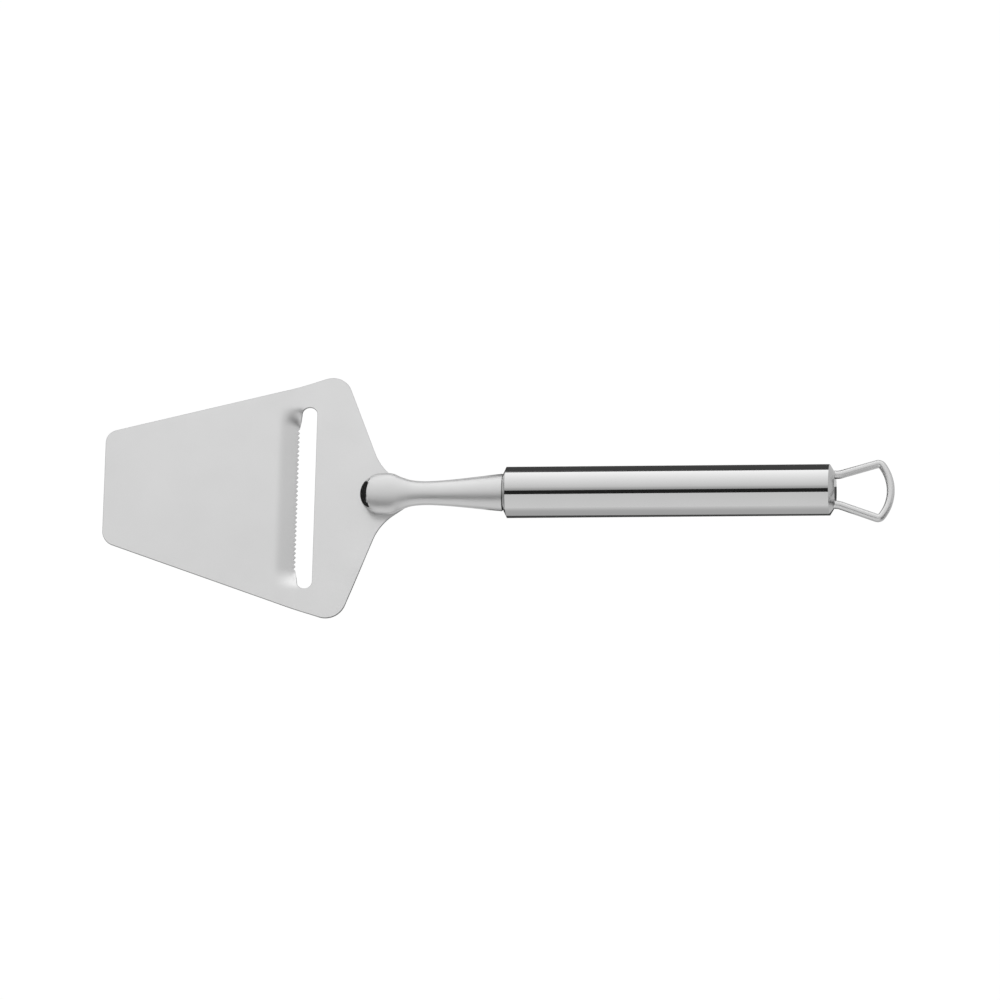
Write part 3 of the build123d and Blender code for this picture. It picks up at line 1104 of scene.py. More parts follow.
    def grid(self) -> list[Point2]:
        """Places on the sheet between its edges, close together where it is curved.

        Returns:
            The places in plan.
        """
        bend_start = self.grind_x - self.fine_rows_before * self.fine_step
        bend_end = self.grind_x + self.fine_rows_behind * self.fine_step
        bend = spaced(bend_start, bend_end, self.fine_step)
        joggle_start = self.joggle_start_x - self.joggle_margin
        joggle_end = self.joggle_end_x + self.joggle_margin
        joggle = spaced(joggle_start, joggle_end, self.fine_step)
        half_slot = self.slot_length / 2
        across = spaced(-half_slot - self.slot_margin, half_slot + self.slot_margin, self.edge_step)
        wide = spaced(-self.shoulder_width / 2, self.shoulder_width / 2, self.coarse_step)
        narrow = spaced(-self.throat_width, self.throat_width, self.coarse_step / 2)
        outer = [y for y in wide if abs(y) > half_slot + self.outer_margin]
        points = [(x, y) for x in bend for y in across + outer]
        points += [(x, y) for x in joggle for y in narrow]
        front = spaced(-self.tip_length, bend[0] - self.coarse_step / 2, self.coarse_step)
        middle = spaced(bend[-1] + self.coarse_step / 2, joggle[0] - self.coarse_step / 2, self.coarse_step)
        rear = spaced(joggle[-1] + self.coarse_step / 2, self.tang_x, self.coarse_step / 2)
        return points + [(x, y) for x in front + middle + rear for y in wide]

    def plan(self, edges: list[list[Point2]]) -> tuple[list[Point2], list[list[int]], list[list[int]]]:
        """Fill the sheet's plan with triangles.

        Args:
            edges: Outline and slot rim of its flat faces.

        Returns:
            The places, the triangles, and the numbers of each edge's places in order.
        """
        crease = [(self.grind_x, y) for y in spaced(-self.half_lip, self.half_lip, self.edge_step)]
        places = edges[0] + edges[1] + crease
        held = KDTree(len(places))
        for n, (x, y) in enumerate(places):
            held.insert((x, y, 0.0), n)
        held.balance()
        clearance = self.fine_step * self.clearance_share
        for point in self.grid():
            near = held.find((*point, 0.0))[2] < clearance
            if not near and inside(point, edges[0]) and not inside(point, edges[1]):
                places.append(point)
        links = []
        numbers = []
        start = 0
        for edge in edges:
            numbers.append(range(start, start + len(edge)))
            links += [(start + n, start + (n + 1) % len(edge)) for n in range(len(edge))]
            start += len(edge)
        links += [(start + n, start + n + 1) for n in range(len(crease) - 1)]
        vectors = [Vector(place) for place in places]
        found, _, triangles, origins, _, _ = delaunay_2d_cdt(vectors, links, [], FILL_INSIDE, self.merge)
        new_number = {old: new for new, olds in enumerate(origins) for old in olds}
        plan = [(place.x, place.y) for place in found]
        filled = [t for t in triangles if not inside(middle_of(t, plan), edges[1])]
        return plan, filled, [[new_number[old] for old in row] for row in numbers]

    def sheet_mesh(self) -> Mesh:
        """Build the sheet before its teeth are cut: two faces, side walls and softened edges.

        Returns:
            The closed mesh, with its faces' finishes.
        """
        rims = [self.outline(), self.slot_rim()]
        plan, triangles, edges = self.plan([inset(rim, self.arrises(rim)) for rim in rims])
        count = len(plan)
        points = [(x, y, self.top(x, y)) for x, y in plan] + [(x, y, self.bottom(x, y)) for x, y in plan]
        faces = []
        finishes = []
        for triangle in triangles:
            x, y = middle_of(triangle, plan)
            on_bevel = self.ground(x, y) and abs(y) < self.half_lip
            faces += [tuple(triangle), tuple(n + count for n in reversed(triangle))]
            finishes += [SATIN_SHEET, GROUND_EDGE if on_bevel else SATIN_SHEET]
        for rim, upper in zip(rims, edges):
            sizes = self.arrises(rim)
            wall_top = range(len(points), len(points) + len(rim))
            points += [(x, y, self.top(x, y) - size) for (x, y), size in zip(rim, sizes)]
            wall_foot = range(len(points), len(points) + len(rim))
            points += [(x, y, self.bottom(x, y) + size) for (x, y), size in zip(rim, sizes)]
            rows = [upper, wall_top, wall_foot, [n + count for n in upper]]
            for above, below in zip(rows, rows[1:]):
                for n in range(len(rim)):
                    after = (n + 1) % len(rim)
                    faces.append((above[n], above[after], below[after], below[n]))
                    finishes.append(SHEARED_EDGE)
        mesh = mesh_of("sheet", points, faces)
        used = (SATIN_SHEET, SHEARED_EDGE, GROUND_EDGE)
        for finish in used:
            mesh.materials.append(finish.material())
        mesh.polygons.foreach_set("material_index", [used.index(finish) for finish in finishes])
        return mended(mesh)

    def serrated(self, sheet: Mesh) -> Mesh:
        """Cut the row of tooth gaps into the lip's edge.

        Args:
            sheet: The closed sheet.

        Returns:
            The sheet with its teeth.
        """
        worker = show("sheet_worker", sheet)
        modifier = worker.modifiers.new("serration", "NODES")
        modifier.node_group = serration_tree()
        half_gap = self.tooth_pitch / 2 * self.tooth_gap_share
        first = (self.lip_edge_x, -self.half_lip + self.tooth_pitch / 2, -self.lip_drop)
        set_inputs(
            modifier,
            {
                "Gap Count": self.tooth_count,
                "First Gap": first,
                "Pitch": (0.0, self.tooth_pitch, 0.0),
                "Gap Size": (self.tooth_depth, half_gap, self.gap_height),
                "Finish": GROUND_EDGE.material(),
            },
        )
        return settled(worker)

    def build(self, pose: RestPose) -> None:
        """Build the blade and put it in place.

        Args:
            pose: How the slicer lies.
        """
        mesh = self.serrated(self.sheet_mesh())
        pose.place(mesh, "slicer_blade", "blade_steel", "blade", self.sharp_angle)


@dataclass(frozen=True)
class Handle:
    """Hollow round handle: the tube, its two turned closures and the joint filler in front."""

    diameter: float = 17.5
    wall: float = 0.8
    start_x: float = 71.35
    length: float = 113.5
    axis_height: float = 4.31
    front_edge_axial: float = 1.1
    front_edge_radial: float = 2.3
    rear_edge_axial: float = 1.9
    rear_edge_radial: float = 3.0
    front_collar: float = 2.6
    rear_collar: float = 3.2
    collar_clearance: float = 0.05
    hub_diameter: float = 11.0
    hub_length: float = 10.0
    bore_diameter: float = 7.06
    filler_thickness: float = 0.45
    filler_width: float = 12.7
    filler_height: float = 7.7
    filler_hollow: float = 0.12
    face_rounding: float = 0.5
    rim_rounding: float = 0.1
    segments: int = 288
    tube_steps: int = 12
    filler_steps: int = 96
    face_step: float = 0.08
    rim_step: float = 0.02
    sharp_angle: float = 30.0

    @property
    def radius(self) -> float:
        """Outer radius of the tube."""
        return self.diameter / 2

    @property
    def collar_radius(self) -> float:
        """Radius of the collars inside the tube."""
        return self.radius - self.wall - self.collar_clearance

    @property
    def end_x(self) -> float:
        """Place of the handle's rear face."""
        return self.start_x + self.length

    @property
    def neck_end_x(self) -> float:
        """Place of the neck's end face, in front of the joint filler."""
        return self.start_x - self.filler_thickness

    def tube_middle(self) -> Point3:
        """Return the middle point of the tube, between its two closures.

        Returns:
            The point in the drawing frame.
        """
        front = self.start_x + self.front_edge_axial
        rear = self.end_x - self.rear_edge_axial
        return (front + rear) / 2, 0.0, self.axis_height

    def edge_and_collar(self, axial: float, radial: float, collar: float) -> list[Point2]:
        """Half section of a closure, from its face over the rounded bevel to the collar's end.

        Args:
            axial: Depth of the bevel along the axis.
            radial: Width of the bevel across the face.
            collar: Length of the collar inside the tube.

        Returns:
            Places along the axis and radii.
        """
        centre = (0.0, 0.0)
        inner = (0.0, self.radius - radial)
        outer = (axial, self.radius)
        behind = (axial + collar, self.radius)
        edge = rounded_corner(centre, inner, outer, self.face_rounding, self.face_step)
        rim = rounded_corner(inner, outer, behind, self.rim_rounding, self.rim_step)
        seat = [(axial, self.collar_radius), (axial + collar, self.collar_radius)]
        return edge + rim[: len(rim) // 2] + [outer] + seat

    def at(self, mesh: Mesh, x: float) -> Mesh:
        """Move a turned mesh to its place along the handle's axis."""
        mesh.transform(Matrix.Translation((x, 0.0, self.axis_height)))
        return mesh

    def tube(self) -> Mesh:
        """Build the tube between the closures.

        Returns:
            The tube in its place.
        """
        length = self.length - self.front_edge_axial - self.rear_edge_axial
        inner = self.radius - self.wall
        outline = [(0.0, inner), (0.0, self.radius), (length, self.radius), (length, inner)]
        outline = subdivided(outline, length / self.tube_steps)
        mesh = turn("tube", outline, MIRROR_TUBE.material(), self.segments)
        return self.at(mesh, self.start_x + self.front_edge_axial)

    def front_cap(self) -> Mesh:
        """Build the front closure with its collar and the hub that holds the neck's spigot.

        Returns:
            The closure in its place.
        """
        bore = self.bore_diameter / 2
        hub = self.hub_diameter / 2
        edge = self.edge_and_collar(self.front_edge_axial, self.front_edge_radial, self.front_collar)
        core = [(edge[-1][0], hub), (self.hub_length, hub), (self.hub_length, bore)]
        outline = [(0.0, bore)] + edge + core
        return self.at(turn("front_cap", outline, MIRROR_CAP.material(), self.segments), self.start_x)

    def rear_cap(self, leg_holes: list[Mesh]) -> Mesh:
        """Build the rear closure.

        Args:
            leg_holes: Meshes of the holes for the loop's legs.

        Returns:
            The closure with its holes.
        """
        edge = self.edge_and_collar(self.rear_edge_axial, self.rear_edge_radial, self.rear_collar)
        outline = [(0.0, 0.0)] + edge + [(edge[-1][0], 0.0)]
        from_rear = [(-along, radius) for along, radius in outline]
        blank = turn("rear_cap", from_rear, MIRROR_CAP.material(), self.segments)
        return without(self.at(blank, self.end_x), leg_holes)

    def filler(self) -> Mesh:
        """Build the oval ring of joint filler between the neck and the front closure.

        Returns:
            The ring in its place.
        """
        angles = [2 * pi * n / self.filler_steps for n in range(self.filler_steps)]

        def ring(x: float, half_width: float, half_height: float) -> Ring:
            """Oval ring round the handle's axis."""
            return [(x, half_width * cos(a), self.axis_height + half_height * sin(a)) for a in angles]

        bore = self.bore_diameter / 2
        wide = self.filler_width / 2
        high = self.filler_height / 2
        rings = [
            ring(self.neck_end_x, bore, bore),
            ring(self.neck_end_x, wide, high),
            ring((self.neck_end_x + self.start_x) / 2, wide - self.filler_hollow, high - self.filler_hollow),
            ring(self.start_x, wide, high),
            ring(self.start_x, bore, bore),
        ]
        mesh = skin("filler", rings, closed=True)
        mesh.materials.append(JOINT_FILLER.material())
        return mesh

    def build(self, pose: RestPose, leg_holes: list[Mesh]) -> None:
        """Build the handle and put it in place.

        Args:
            pose: How the slicer lies.
            leg_holes: Meshes of the holes for the loop's legs.
        """
        for piece in (
            (self.tube(), "slicer_handle_tube", "handle_steel", "handle_tube"),
            (self.front_cap(), "slicer_front_cap", "handle_steel", "front_cap"),
            (self.rear_cap(leg_holes), "slicer_rear_cap", "handle_steel", "rear_cap"),
            (self.filler(), "slicer_front_seal", "seal", "front_seal"),
        ):
            pose.place(*piece, self.sharp_angle)


@dataclass(frozen=True)
class Neck:
    """Forged neck: round foot with its slanted facet, waist, shoulder and spigot, and the foot's weld.

    Its sections are flat ovals round the handle's axis, with a height of their own above and below.
    The shares say how far along, how wide and how high a section is between two main stations.
    """

    blade: Blade
    handle: Handle
    foot_x: float = 29.2
    foot_radius: float = 7.28
    foot_crown: float = 3.0
    foot_depth: float = 5.0
    facet_inset: float = 2.4
    facet_radius: float = 6.2
    facet_half_turn: float = 85.0
    facet_angle: float = 37.0
    waist_x: float = 45.4
    waist_width: float = 8.5
    waist_thickness: float = 4.7
    end_width: float = 13.2
    end_thickness: float = 8.2
    end_rounding: float = 0.08
    spigot_radius: float = 3.5
    spigot_length: float = 16.0
    spigot_chamfer: float = 0.6
    tang_overrun: float = 5.0
    weld_radius: float = 0.32
    weld_ripple: float = 0.8
    weld_ripple_share: float = 0.1
    to_waist_shares: tuple[Point3, ...] = (
        (0.15, -0.02, 0.02),
        (0.27, 0.11, 0.12),
        (0.40, 0.44, 0.40),
        (0.51, 0.66, 0.61),
        (0.62, 0.84, 0.80),
        (0.83, 0.98, 0.96),
    )
    to_end_shares: tuple[Point3, ...] = (
        (0.16, 0.08, 0.07),
        (0.30, 0.20, 0.18),
        (0.57, 0.50, 0.47),
        (0.84, 0.83, 0.82),
    )
    around: int = 144
    step: float = 0.4
    nose_steps: int = 41
    rounding_steps: int = 4
    facet_steps: int = 80
    facet_overrun: float = 1.0
    weld_steps: int = 60
    weld_rounds: int = 12
    sharp_angle: float = 18.0
    weld_sharp_angle: float = 60.0

    def stations(self) -> list[tuple[float, ...]]:
        """Places, half widths, crowns and depths of the sections from foot to handle.

        Returns:
            One row for each section.
        """
        foot = (self.foot_x, self.foot_radius, self.foot_crown, self.foot_depth)
        thin = self.waist_thickness / 2
        waist = (self.waist_x, self.waist_width / 2, thin, thin)
        thick = self.end_thickness / 2
        end = (self.handle.neck_end_x, self.end_width / 2, thick, thick)
        rows = [foot]
        for start, stop, shares in ((foot, waist, self.to_waist_shares), (waist, end, self.to_end_shares)):
            for along, wide, high in shares:
                row = [a + (b - a) * share for a, b, share in zip(start, stop, (along, wide, high, high))]
                rows.append(tuple(row))
            rows.append(stop)
        return rows

    def section_at(self, rows: list[tuple[float, ...]], x: float) -> tuple[float, float, float]:
        """Half width, crown and depth at x, on a smooth curve through the stations.

        Args:
            rows: The stations.
            x: Place along the neck.

        Returns:
            Half width, crown and depth.
        """
        last = len(rows) - 1
        gaps = [after[0] - before[0] for before, after in zip(rows, rows[1:])]
        here = max(n for n in range(last) if rows[n][0] <= x or n == 0)
        share = (x - rows[here][0]) / gaps[here]

        def slope(n: int, column: int) -> float:
            """Slope of one size at a station, level where the foot begins.

            Args:
                n: Number of the station.
                column: Column of the size in the stations.

            Returns:
                The slope along the neck.
            """
            if n == 0:
                return 0.0
            before = (rows[n][column] - rows[n - 1][column]) / gaps[n - 1]
            if n == last:
                return before
            after = (rows[n + 1][column] - rows[n][column]) / gaps[n]
            return (before * gaps[n] + after * gaps[n - 1]) / (gaps[n - 1] + gaps[n])

        sizes = []
        for column in (1, 2, 3):
            start, end = rows[here][column], rows[here + 1][column]
            after_start = start + slope(here, column) * gaps[here] / 3
            before_end = end - slope(here + 1, column) * gaps[here] / 3
            curve = tuple((size, 0.0) for size in (start, after_start, before_end, end))
            sizes.append(bezier_point(curve, share)[0])
        return tuple(sizes)

    def ring(self, x: float, half_width: float, crown: float, depth: float) -> Ring:
        """Oval ring at x, resting on the blade's upper face where the tang reaches.

        Args:
            x: Place along the neck.
            half_width: Half the ring's width.
            crown: Height above the handle's axis.
            depth: Depth below it.

        Returns:
            The ring's points.
        """
        floor = self.blade.top(x, 0.0) if x < self.blade.tang_x + self.tang_overrun else -self.foot_depth
        points = []
        for n in range(self.around):
            angle = 2 * pi * (n + 0.5) / self.around
            height = (crown if sin(angle) > 0 else depth) * sin(angle)
            points.append((x, half_width * cos(angle), max(floor, self.handle.axis_height + height)))
        return points

    def rings(self) -> list[Ring]:
        """Rings of the whole neck, from the foot's nose to the spigot's end.

        Returns:
            The rings in order.
        """
        rings = []
        for n in range(1, self.nose_steps):
            angle = pi / 2 * n / self.nose_steps
            share = sin(angle)
            x = self.foot_x - self.foot_radius * cos(angle)
            sizes = (self.foot_radius * share, self.foot_crown * share, self.foot_depth * share)
            rings.append(self.ring(x, *sizes))
        rows = self.stations()
        end_x = self.handle.neck_end_x
        for x in spaced(self.foot_x, end_x - self.end_rounding, self.step):
            rings.append(self.ring(x, *self.section_at(rows, x)))
        half_width, half_height = self.end_width / 2, self.end_thickness / 2
        for n in range(1, self.rounding_steps + 1):
            angle = pi / 2 * n / self.rounding_steps
            drop = self.end_rounding * (1 - cos(angle))
            x = end_x - self.end_rounding * (1 - sin(angle))
            rings.append(self.ring(x, half_width - drop, half_height - drop, half_height - drop))
        tip_x = end_x + self.spigot_length
        for x, radius in (
            (end_x, self.spigot_radius),
            (tip_x - self.spigot_chamfer, self.spigot_radius),
            (tip_x, self.spigot_radius - self.spigot_chamfer),
        ):
            rings.append(self.ring(x, radius, radius, radius))
        return rings

    def beyond_facet(self) -> Mesh:
        """Mesh of the space in front of the foot's slanted facet, which is part of a wide cone.

        Returns:
            The mesh that cuts the facet.
        """
        share = (self.foot_radius - self.facet_inset) / self.foot_radius
        top = self.handle.axis_height + self.foot_crown * sqrt(1 - share**2)
        axis_x = self.foot_x - self.foot_radius + self.facet_inset + self.facet_radius
        high = top + self.foot_crown
        low = top - self.foot_depth - self.facet_overrun
        widened = self.facet_radius + (top - low) / tan(radians(self.facet_angle))
        outer = widened + self.foot_radius
        slope = [(self.facet_radius, high), (self.facet_radius, top), (widened, low)]
        profile = slope + [(outer, low), (outer, high)]
        rings = []
        for n in range(self.facet_steps + 1):
            angle = pi + radians(self.facet_half_turn) * (2 * n / self.facet_steps - 1)
            rings.append([(axis_x + r * cos(angle), r * sin(angle), z) for r, z in profile])
        mesh = skin("beyond_facet", rings)
        mesh.polygons.foreach_set("material_index", [1] * len(mesh.polygons))
        return mesh

    def body(self) -> Mesh:
        """Build the neck with its facet.

        Returns:
            The neck in its place.
        """
        blank = skin("neck", self.rings())
        blank.materials.append(BUFFED_FORGING.material())
        blank.materials.append(FACET_POLISH.material())
        return without(blank, [self.beyond_facet()])

    def weld(self) -> Mesh:
        """Build the weld bead round the front of the foot, where it meets the blade.

        Returns:
            The bead in its place.
        """
        path = []
        for n in range(self.weld_steps + 1):
            angle = pi * (n / self.weld_steps - 0.5)
            radius = self.foot_radius
            # The foot narrows below and the blade slopes, so radius and height are found in turn.
            for _ in range(self.weld_rounds):
                x = self.foot_x - radius * cos(angle)
                z = self.blade.top(x, 0.0) + self.weld_radius / 2
                share = (self.handle.axis_height - z) / self.foot_depth
                radius = self.foot_radius * sqrt(1 - share**2)
            path.append((x, -radius * sin(angle), z))
        section = arc_points((0.0, 0.0), self.weld_radius, 0.0, 2 * pi, self.weld_radius / 2)[:-1]
        ripples = pi * self.foot_radius / self.weld_ripple
        finish = BRUSHED_WELD.material()
        return sweep("weld", path, section, finish, ripples=ripples, ripple_share=self.weld_ripple_share)

    def build(self, pose: RestPose) -> None:
        """Build the neck and its weld and put them in place.

        Args:
            pose: How the slicer lies.
        """
        pose.place(self.body(), "slicer_neck", "neck_steel", "neck", self.sharp_angle)
        pose.place(self.weld(), "slicer_neck_weld", "weld_steel", "neck_weld", self.weld_sharp_angle)


@dataclass(frozen=True)
class HangingLoop:
    """Bar bent into the hanging loop, with two legs that reach through the rear closure."""

    handle: Handle
    bar_width: float = 2.7
    bar_thickness: float = 2.9
    bar_corner: float = 1.2
    leg_spacing: float = 10.7
    corner_reach: float = 15.1
    corner_spacing: float = 19.9
    reach: float = 18.8
    leg_bend: float = 6.0
    corner_bend: float = 1.7
    straight: float = 1.2
    droop: float = 7.0
    leg_tail: float = 2.5
    leg_clearance: float = 0.03
    step: float = 0.25
    sharp_angle: float = 35.0

    def inner_end_x(self) -> float:
        """Place where the legs end inside the handle."""
        return -self.handle.rear_edge_axial - self.handle.rear_collar - self.leg_tail

    def drooped(self, mesh: Mesh) -> Mesh:
        """Hang a mesh, drawn round the middle of the handle's rear face, down from there.

        Args:
            mesh: The mesh.

        Returns:
            The same mesh in its place.
        """
        place = Matrix.Translation((self.handle.end_x, 0.0, self.handle.axis_height))
        mesh.transform(place @ Matrix.Rotation(radians(self.droop), 4, "Y"))
        return mesh

    def path(self) -> list[Point3]:
        """Middle line of the bar, from one leg's end round to the other's.

        Returns:
            The points in order, turning left all the way round.
        """
        leg_end = Vector((self.inner_end_x(), -self.leg_spacing / 2))
        bend = Vector((self.straight, -self.leg_spacing / 2))
        corner = Vector((self.corner_reach, -self.corner_spacing / 2))
        rise = self.reach - self.corner_reach
        crown_radius = (corner.y**2 + rise**2) / (2 * rise)
        crown_centre = Vector((self.reach - crown_radius, 0.0))
        along = (corner - bend).normalized()
        inward = Vector((-along.y, along.x))
        # The corner's bend touches the slanted leg, and from within the circle of the crown.
        offset = bend + inward * self.corner_bend - crown_centre
        room = crown_radius - self.corner_bend
        forward = -offset.dot(along) + sqrt(offset.dot(along) ** 2 - offset.length_squared + room**2)
        small_centre = bend + inward * self.corner_bend + along * forward
        first = -inward
        last = (small_centre - crown_centre).normalized()
        half = [tuple(leg_end)] + rounded_corner(leg_end, bend, corner, self.leg_bend, self.step)
        start_angle, end_angle = atan2(first.y, first.x), atan2(last.y, last.x)
        half += arc_points(tuple(small_centre), self.corner_bend, start_angle, end_angle, self.step)
        half += arc_points(tuple(crown_centre), crown_radius, end_angle, 0.0, self.step)[1:]
        whole = half + [(x, -y) for x, y in reversed(half[:-1])]
        return [(x, y, 0.0) for x, y in whole]

    def leg_hole(self, y: float) -> Mesh:
        """Mesh of the hole for the leg at y, a clearance larger than the bar.

        Args:
            y: Place of the leg across the handle.

        Returns:
            The mesh that cuts the hole.
        """
        grown = 2 * self.leg_clearance
        section = rounded_rectangle(self.bar_width + grown, self.bar_thickness + grown, self.bar_corner)
        ends = (self.inner_end_x(), self.straight)
        rings = [[(x, y + across, up) for across, up in section] for x in ends]
        return self.drooped(skin("leg_hole", rings))

    def leg_holes(self) -> list[Mesh]:
        """Meshes of both legs' holes."""
        return [self.leg_hole(side * self.leg_spacing / 2) for side in (-1, 1)]

    def build(self, pose: RestPose, welds: Object) -> None:
        """Build the loop, put it in place and dress the welds of its legs.

        Args:
            pose: How the slicer lies.
            welds: CAD node of the two weld beads inside the handle.
        """
        section = rounded_rectangle(self.bar_width, self.bar_thickness, self.bar_corner)
        mesh = self.drooped(sweep("loop", self.path(), section, SATIN_BAR.material()))
        pose.place(mesh, "slicer_hanging_loop", "loop_steel", "hanging_loop", self.sharp_angle)
        for slot in welds.material_slots:
            slot.material = BRUSHED_WELD.material()
        LOG.info("loop_welds: kept from the CAD, finished as %s", BRUSHED_WELD.name)


# Studio


class Placing(Enum):
    """How a card of the light tent is set up."""

    ARCH = "arch"
    TABLE = "table"


@dataclass(frozen=True)
class Card:
    """Strip of the light tent that runs along X, and how bright its two edges are.

    Edges are angles from straight up towards the back for an arch, and metres towards the back for
    the table. A level of one shows as white in a perfect mirror. The far share is what is left of it
    at the loop's end of the tent, the span is where the strip starts and ends in X, and the lift is
    how far a card lies above the table's other cards, as the grey patch of painted shade does.
    """

    placing: Placing
    start: float
    end: float
    start_level: float
    end_level: float
    far_share: float = 1.0
    span: tuple[float, float] = (-2.6, 2.6)
    lift: float = 0.0


@dataclass(frozen=True)
class Wall:
    """Upright cloth across one end of the light tent, over a span in Y, with how bright it is."""

    x: float
    span: tuple[float, float]
    height: float
    level: float


@dataclass(frozen=True)
class Studio:
    """Plain white studio: pale floor and backdrop, and the light tent that the steel mirrors.

    The tent is an arch over the slicer along the handle, soft and bright above, with dark flags that
    draw the long dark lines of the polished tube. Its cards on the table carry a painted shadow of the
    slicer, darker under and behind it. Only reflections see it. Lengths are in metres, and the arch's
    steps in degrees.
    """

    tent_radius: float = 1.5
    fade: tuple[float, float] = (0.7, 1.2)
    table_card_height: float = 0.00015
    floor_size: float = 8.0
    floor_drop: float = 0.00005
    floor_colour: str = "#6C6C6C"
    ambient: float = 0.4
    floor_margin: float = 1.03
    arch_step: float = 1.5
    table_steps: int = 4
    cards: tuple[Card, ...] = (
        # Arch from front to back. The dark flag round the camera draws the tube's middle line.
        Card(Placing.ARCH, -89, -50, 0.85, 0.81, 0.15),
        Card(Placing.ARCH, -50, -26.5, 0.81, 0.78, 0.15),
        Card(Placing.ARCH, -26.5, -9.5, 0.02, 0.02, span=(-2.6, 0.1)),
        Card(Placing.ARCH, -26.5, -9.5, 0.78, 0.45, 0.15, span=(0.1, 2.6)),
        Card(Placing.ARCH, -9.5, -5, 0.42, 0.50, 0.15),
        Card(Placing.ARCH, -5, 4, 0.50, 0.73, 0.3),
        Card(Placing.ARCH, 4, 18, 0.76, 0.90, 0.7),
        Card(Placing.ARCH, 18, 57, 0.90, 1.20, 0.7),
        Card(Placing.ARCH, 57, 84, 1.20, 1.39, 0.7),
        Card(Placing.ARCH, 84, 90, 0.07, 0.07),
        # Table in front of the handle, with painted shade that deepens towards it.
        Card(Placing.TABLE, -1.5, -0.243, 0.85, 0.81),
        Card(Placing.TABLE, -0.243, -0.095, 0.81, 0.72),
        Card(Placing.TABLE, -0.095, -0.06, 0.72, 0.64),
        Card(Placing.TABLE, -0.06, -0.033, 0.64, 0.54),
        Card(Placing.TABLE, -0.033, -0.0145, 0.54, 0.50),
        # Table under and behind blade, neck, tube, rear face and loop, with the slicer's painted shadow.
        Card(Placing.TABLE, -0.0145, 1.5, 0.55, 0.55, span=(-2.6, -0.045)),
        Card(Placing.TABLE, -0.0145, 0.075, 0.72, 0.72, span=(-0.045, -0.0055)),
        # Painted shadow behind the neck.
        Card(Placing.TABLE, 0.075, 1.5, 0.07, 0.07, span=(-0.045, -0.0055)),
        # Painted shadow under and behind the tube.
        Card(Placing.TABLE, -0.0145, 1.5, 0.07, 0.07, span=(-0.0055, 0.115)),
        # Painted shadow under the rear face.
        Card(Placing.TABLE, -0.0145, 0.005, 0.05, 0.05, span=(0.115, 0.1185)),
        Card(Placing.TABLE, 0.005, 1.5, 0.62, 0.62, span=(0.115, 0.1185)),
        Card(Placing.TABLE, -0.0145, 1.5, 0.62, 0.62, span=(0.1185, 2.6)),
        # Grey card of painted shade under the blade's rear edge.
        Card(Placing.TABLE, -0.06, -0.0145, 0.25, 0.25, span=(-0.062, -0.045), lift=0.0001),
    )
    walls: tuple[Wall, ...] = (
        # Across the tip's end, then the front and the rear half of the loop's end.
        Wall(-1.5, (-1.5, 1.5), 0.72, 0.02),
        Wall(1.8, (-1.5, 0.0), 0.5, 0.02),
        Wall(1.8, (0.0, 1.5), 0.5, 0.6),
    )

    def card_rows(self, card: Card) -> list[tuple[float, float, float]]:
        """Places across the tent and levels of a card's rows of points.

        Args:
            card: The card.

        Returns:
            Y, Z and level of each row.
        """
        rows = []
        on_arch = card.placing is Placing.ARCH
        count = ceil(abs(card.end - card.start) / self.arch_step) if on_arch else self.table_steps
        for n in range(count + 1):
            share = n / count
            place = card.start + (card.end - card.start) * share
            level = card.start_level + (card.end_level - card.start_level) * share
            if on_arch:
                angle = radians(place)
                rows.append((self.tent_radius * sin(angle), self.tent_radius * cos(angle), level))
            else:
                rows.append((place, self.table_card_height + card.lift, level))
        return rows

    def tent_mesh(self) -> Mesh:
        """Build the tent's cards and its end walls, with a level at each point.

        Returns:
            The tent's mesh.
        """
        points = []
        levels = []
        faces = []
        fade_start, fade_end = self.fade
        for card in self.cards:
            near, far = card.span
            shares = [(near, 1.0), (fade_start, 1.0), (fade_end, card.far_share), (far, card.far_share)]
            places = [place for place in shares if near <= place[0] <= far]
            for n, (y, z, level) in enumerate(self.card_rows(card)):
                first = len(points)
                points += [(x, y, z) for x, _ in places]
                levels += [level * share for _, share in places]
                before = first - len(places)
                if n:
                    for k in range(len(places) - 1):
                        faces.append((before + k, before + k + 1, first + k + 1, first + k))
        for wall in self.walls:
            near, far = wall.span
            corners = ((near, 0.0), (far, 0.0), (far, wall.height), (near, wall.height))
            faces.append(tuple(range(len(points), len(points) + len(corners))))
            points += [(wall.x, y, z) for y, z in corners]
            levels += [wall.level] * len(corners)
        mesh = mesh_of("light_tent", points, faces)
        level_layer = mesh.attributes.new("level", "FLOAT", "POINT")
        level_layer.data.foreach_set("value", levels)
        return mesh

    def tent_material(self) -> Material:
        """Backlit cloth, black card and painted table shadow: each place shines as its level says.

        Returns:
            The material.
        """
        material, tree = empty_material("tent_cloth_flags_and_painted_shadow")
        level = add_node(tree, "ShaderNodeAttribute", attribute_name="level").outputs["Fac"]
        light = add_node(tree, "ShaderNodeEmission", {"Strength": level})
        add_node(tree, "ShaderNodeOutputMaterial", {"Surface": light})
        return material

    def seen_share(self, tree: NodeTree) -> Node:
        """Add nodes that give one where the camera, a reflection or a refraction looks.

        Args:
            tree: Tree of the floor or of the world.

        Returns:
            The last of them.
        """
        ray = add_node(tree, "ShaderNodeLightPath").outputs
        seen = ray["Is Camera Ray"]
        for kind in ("Is Glossy Ray", "Is Transmission Ray"):
            both = {"Value": seen, "Value_001": ray[kind]}
            seen = add_node(tree, "ShaderNodeMath", both, operation="MAXIMUM")
        return seen

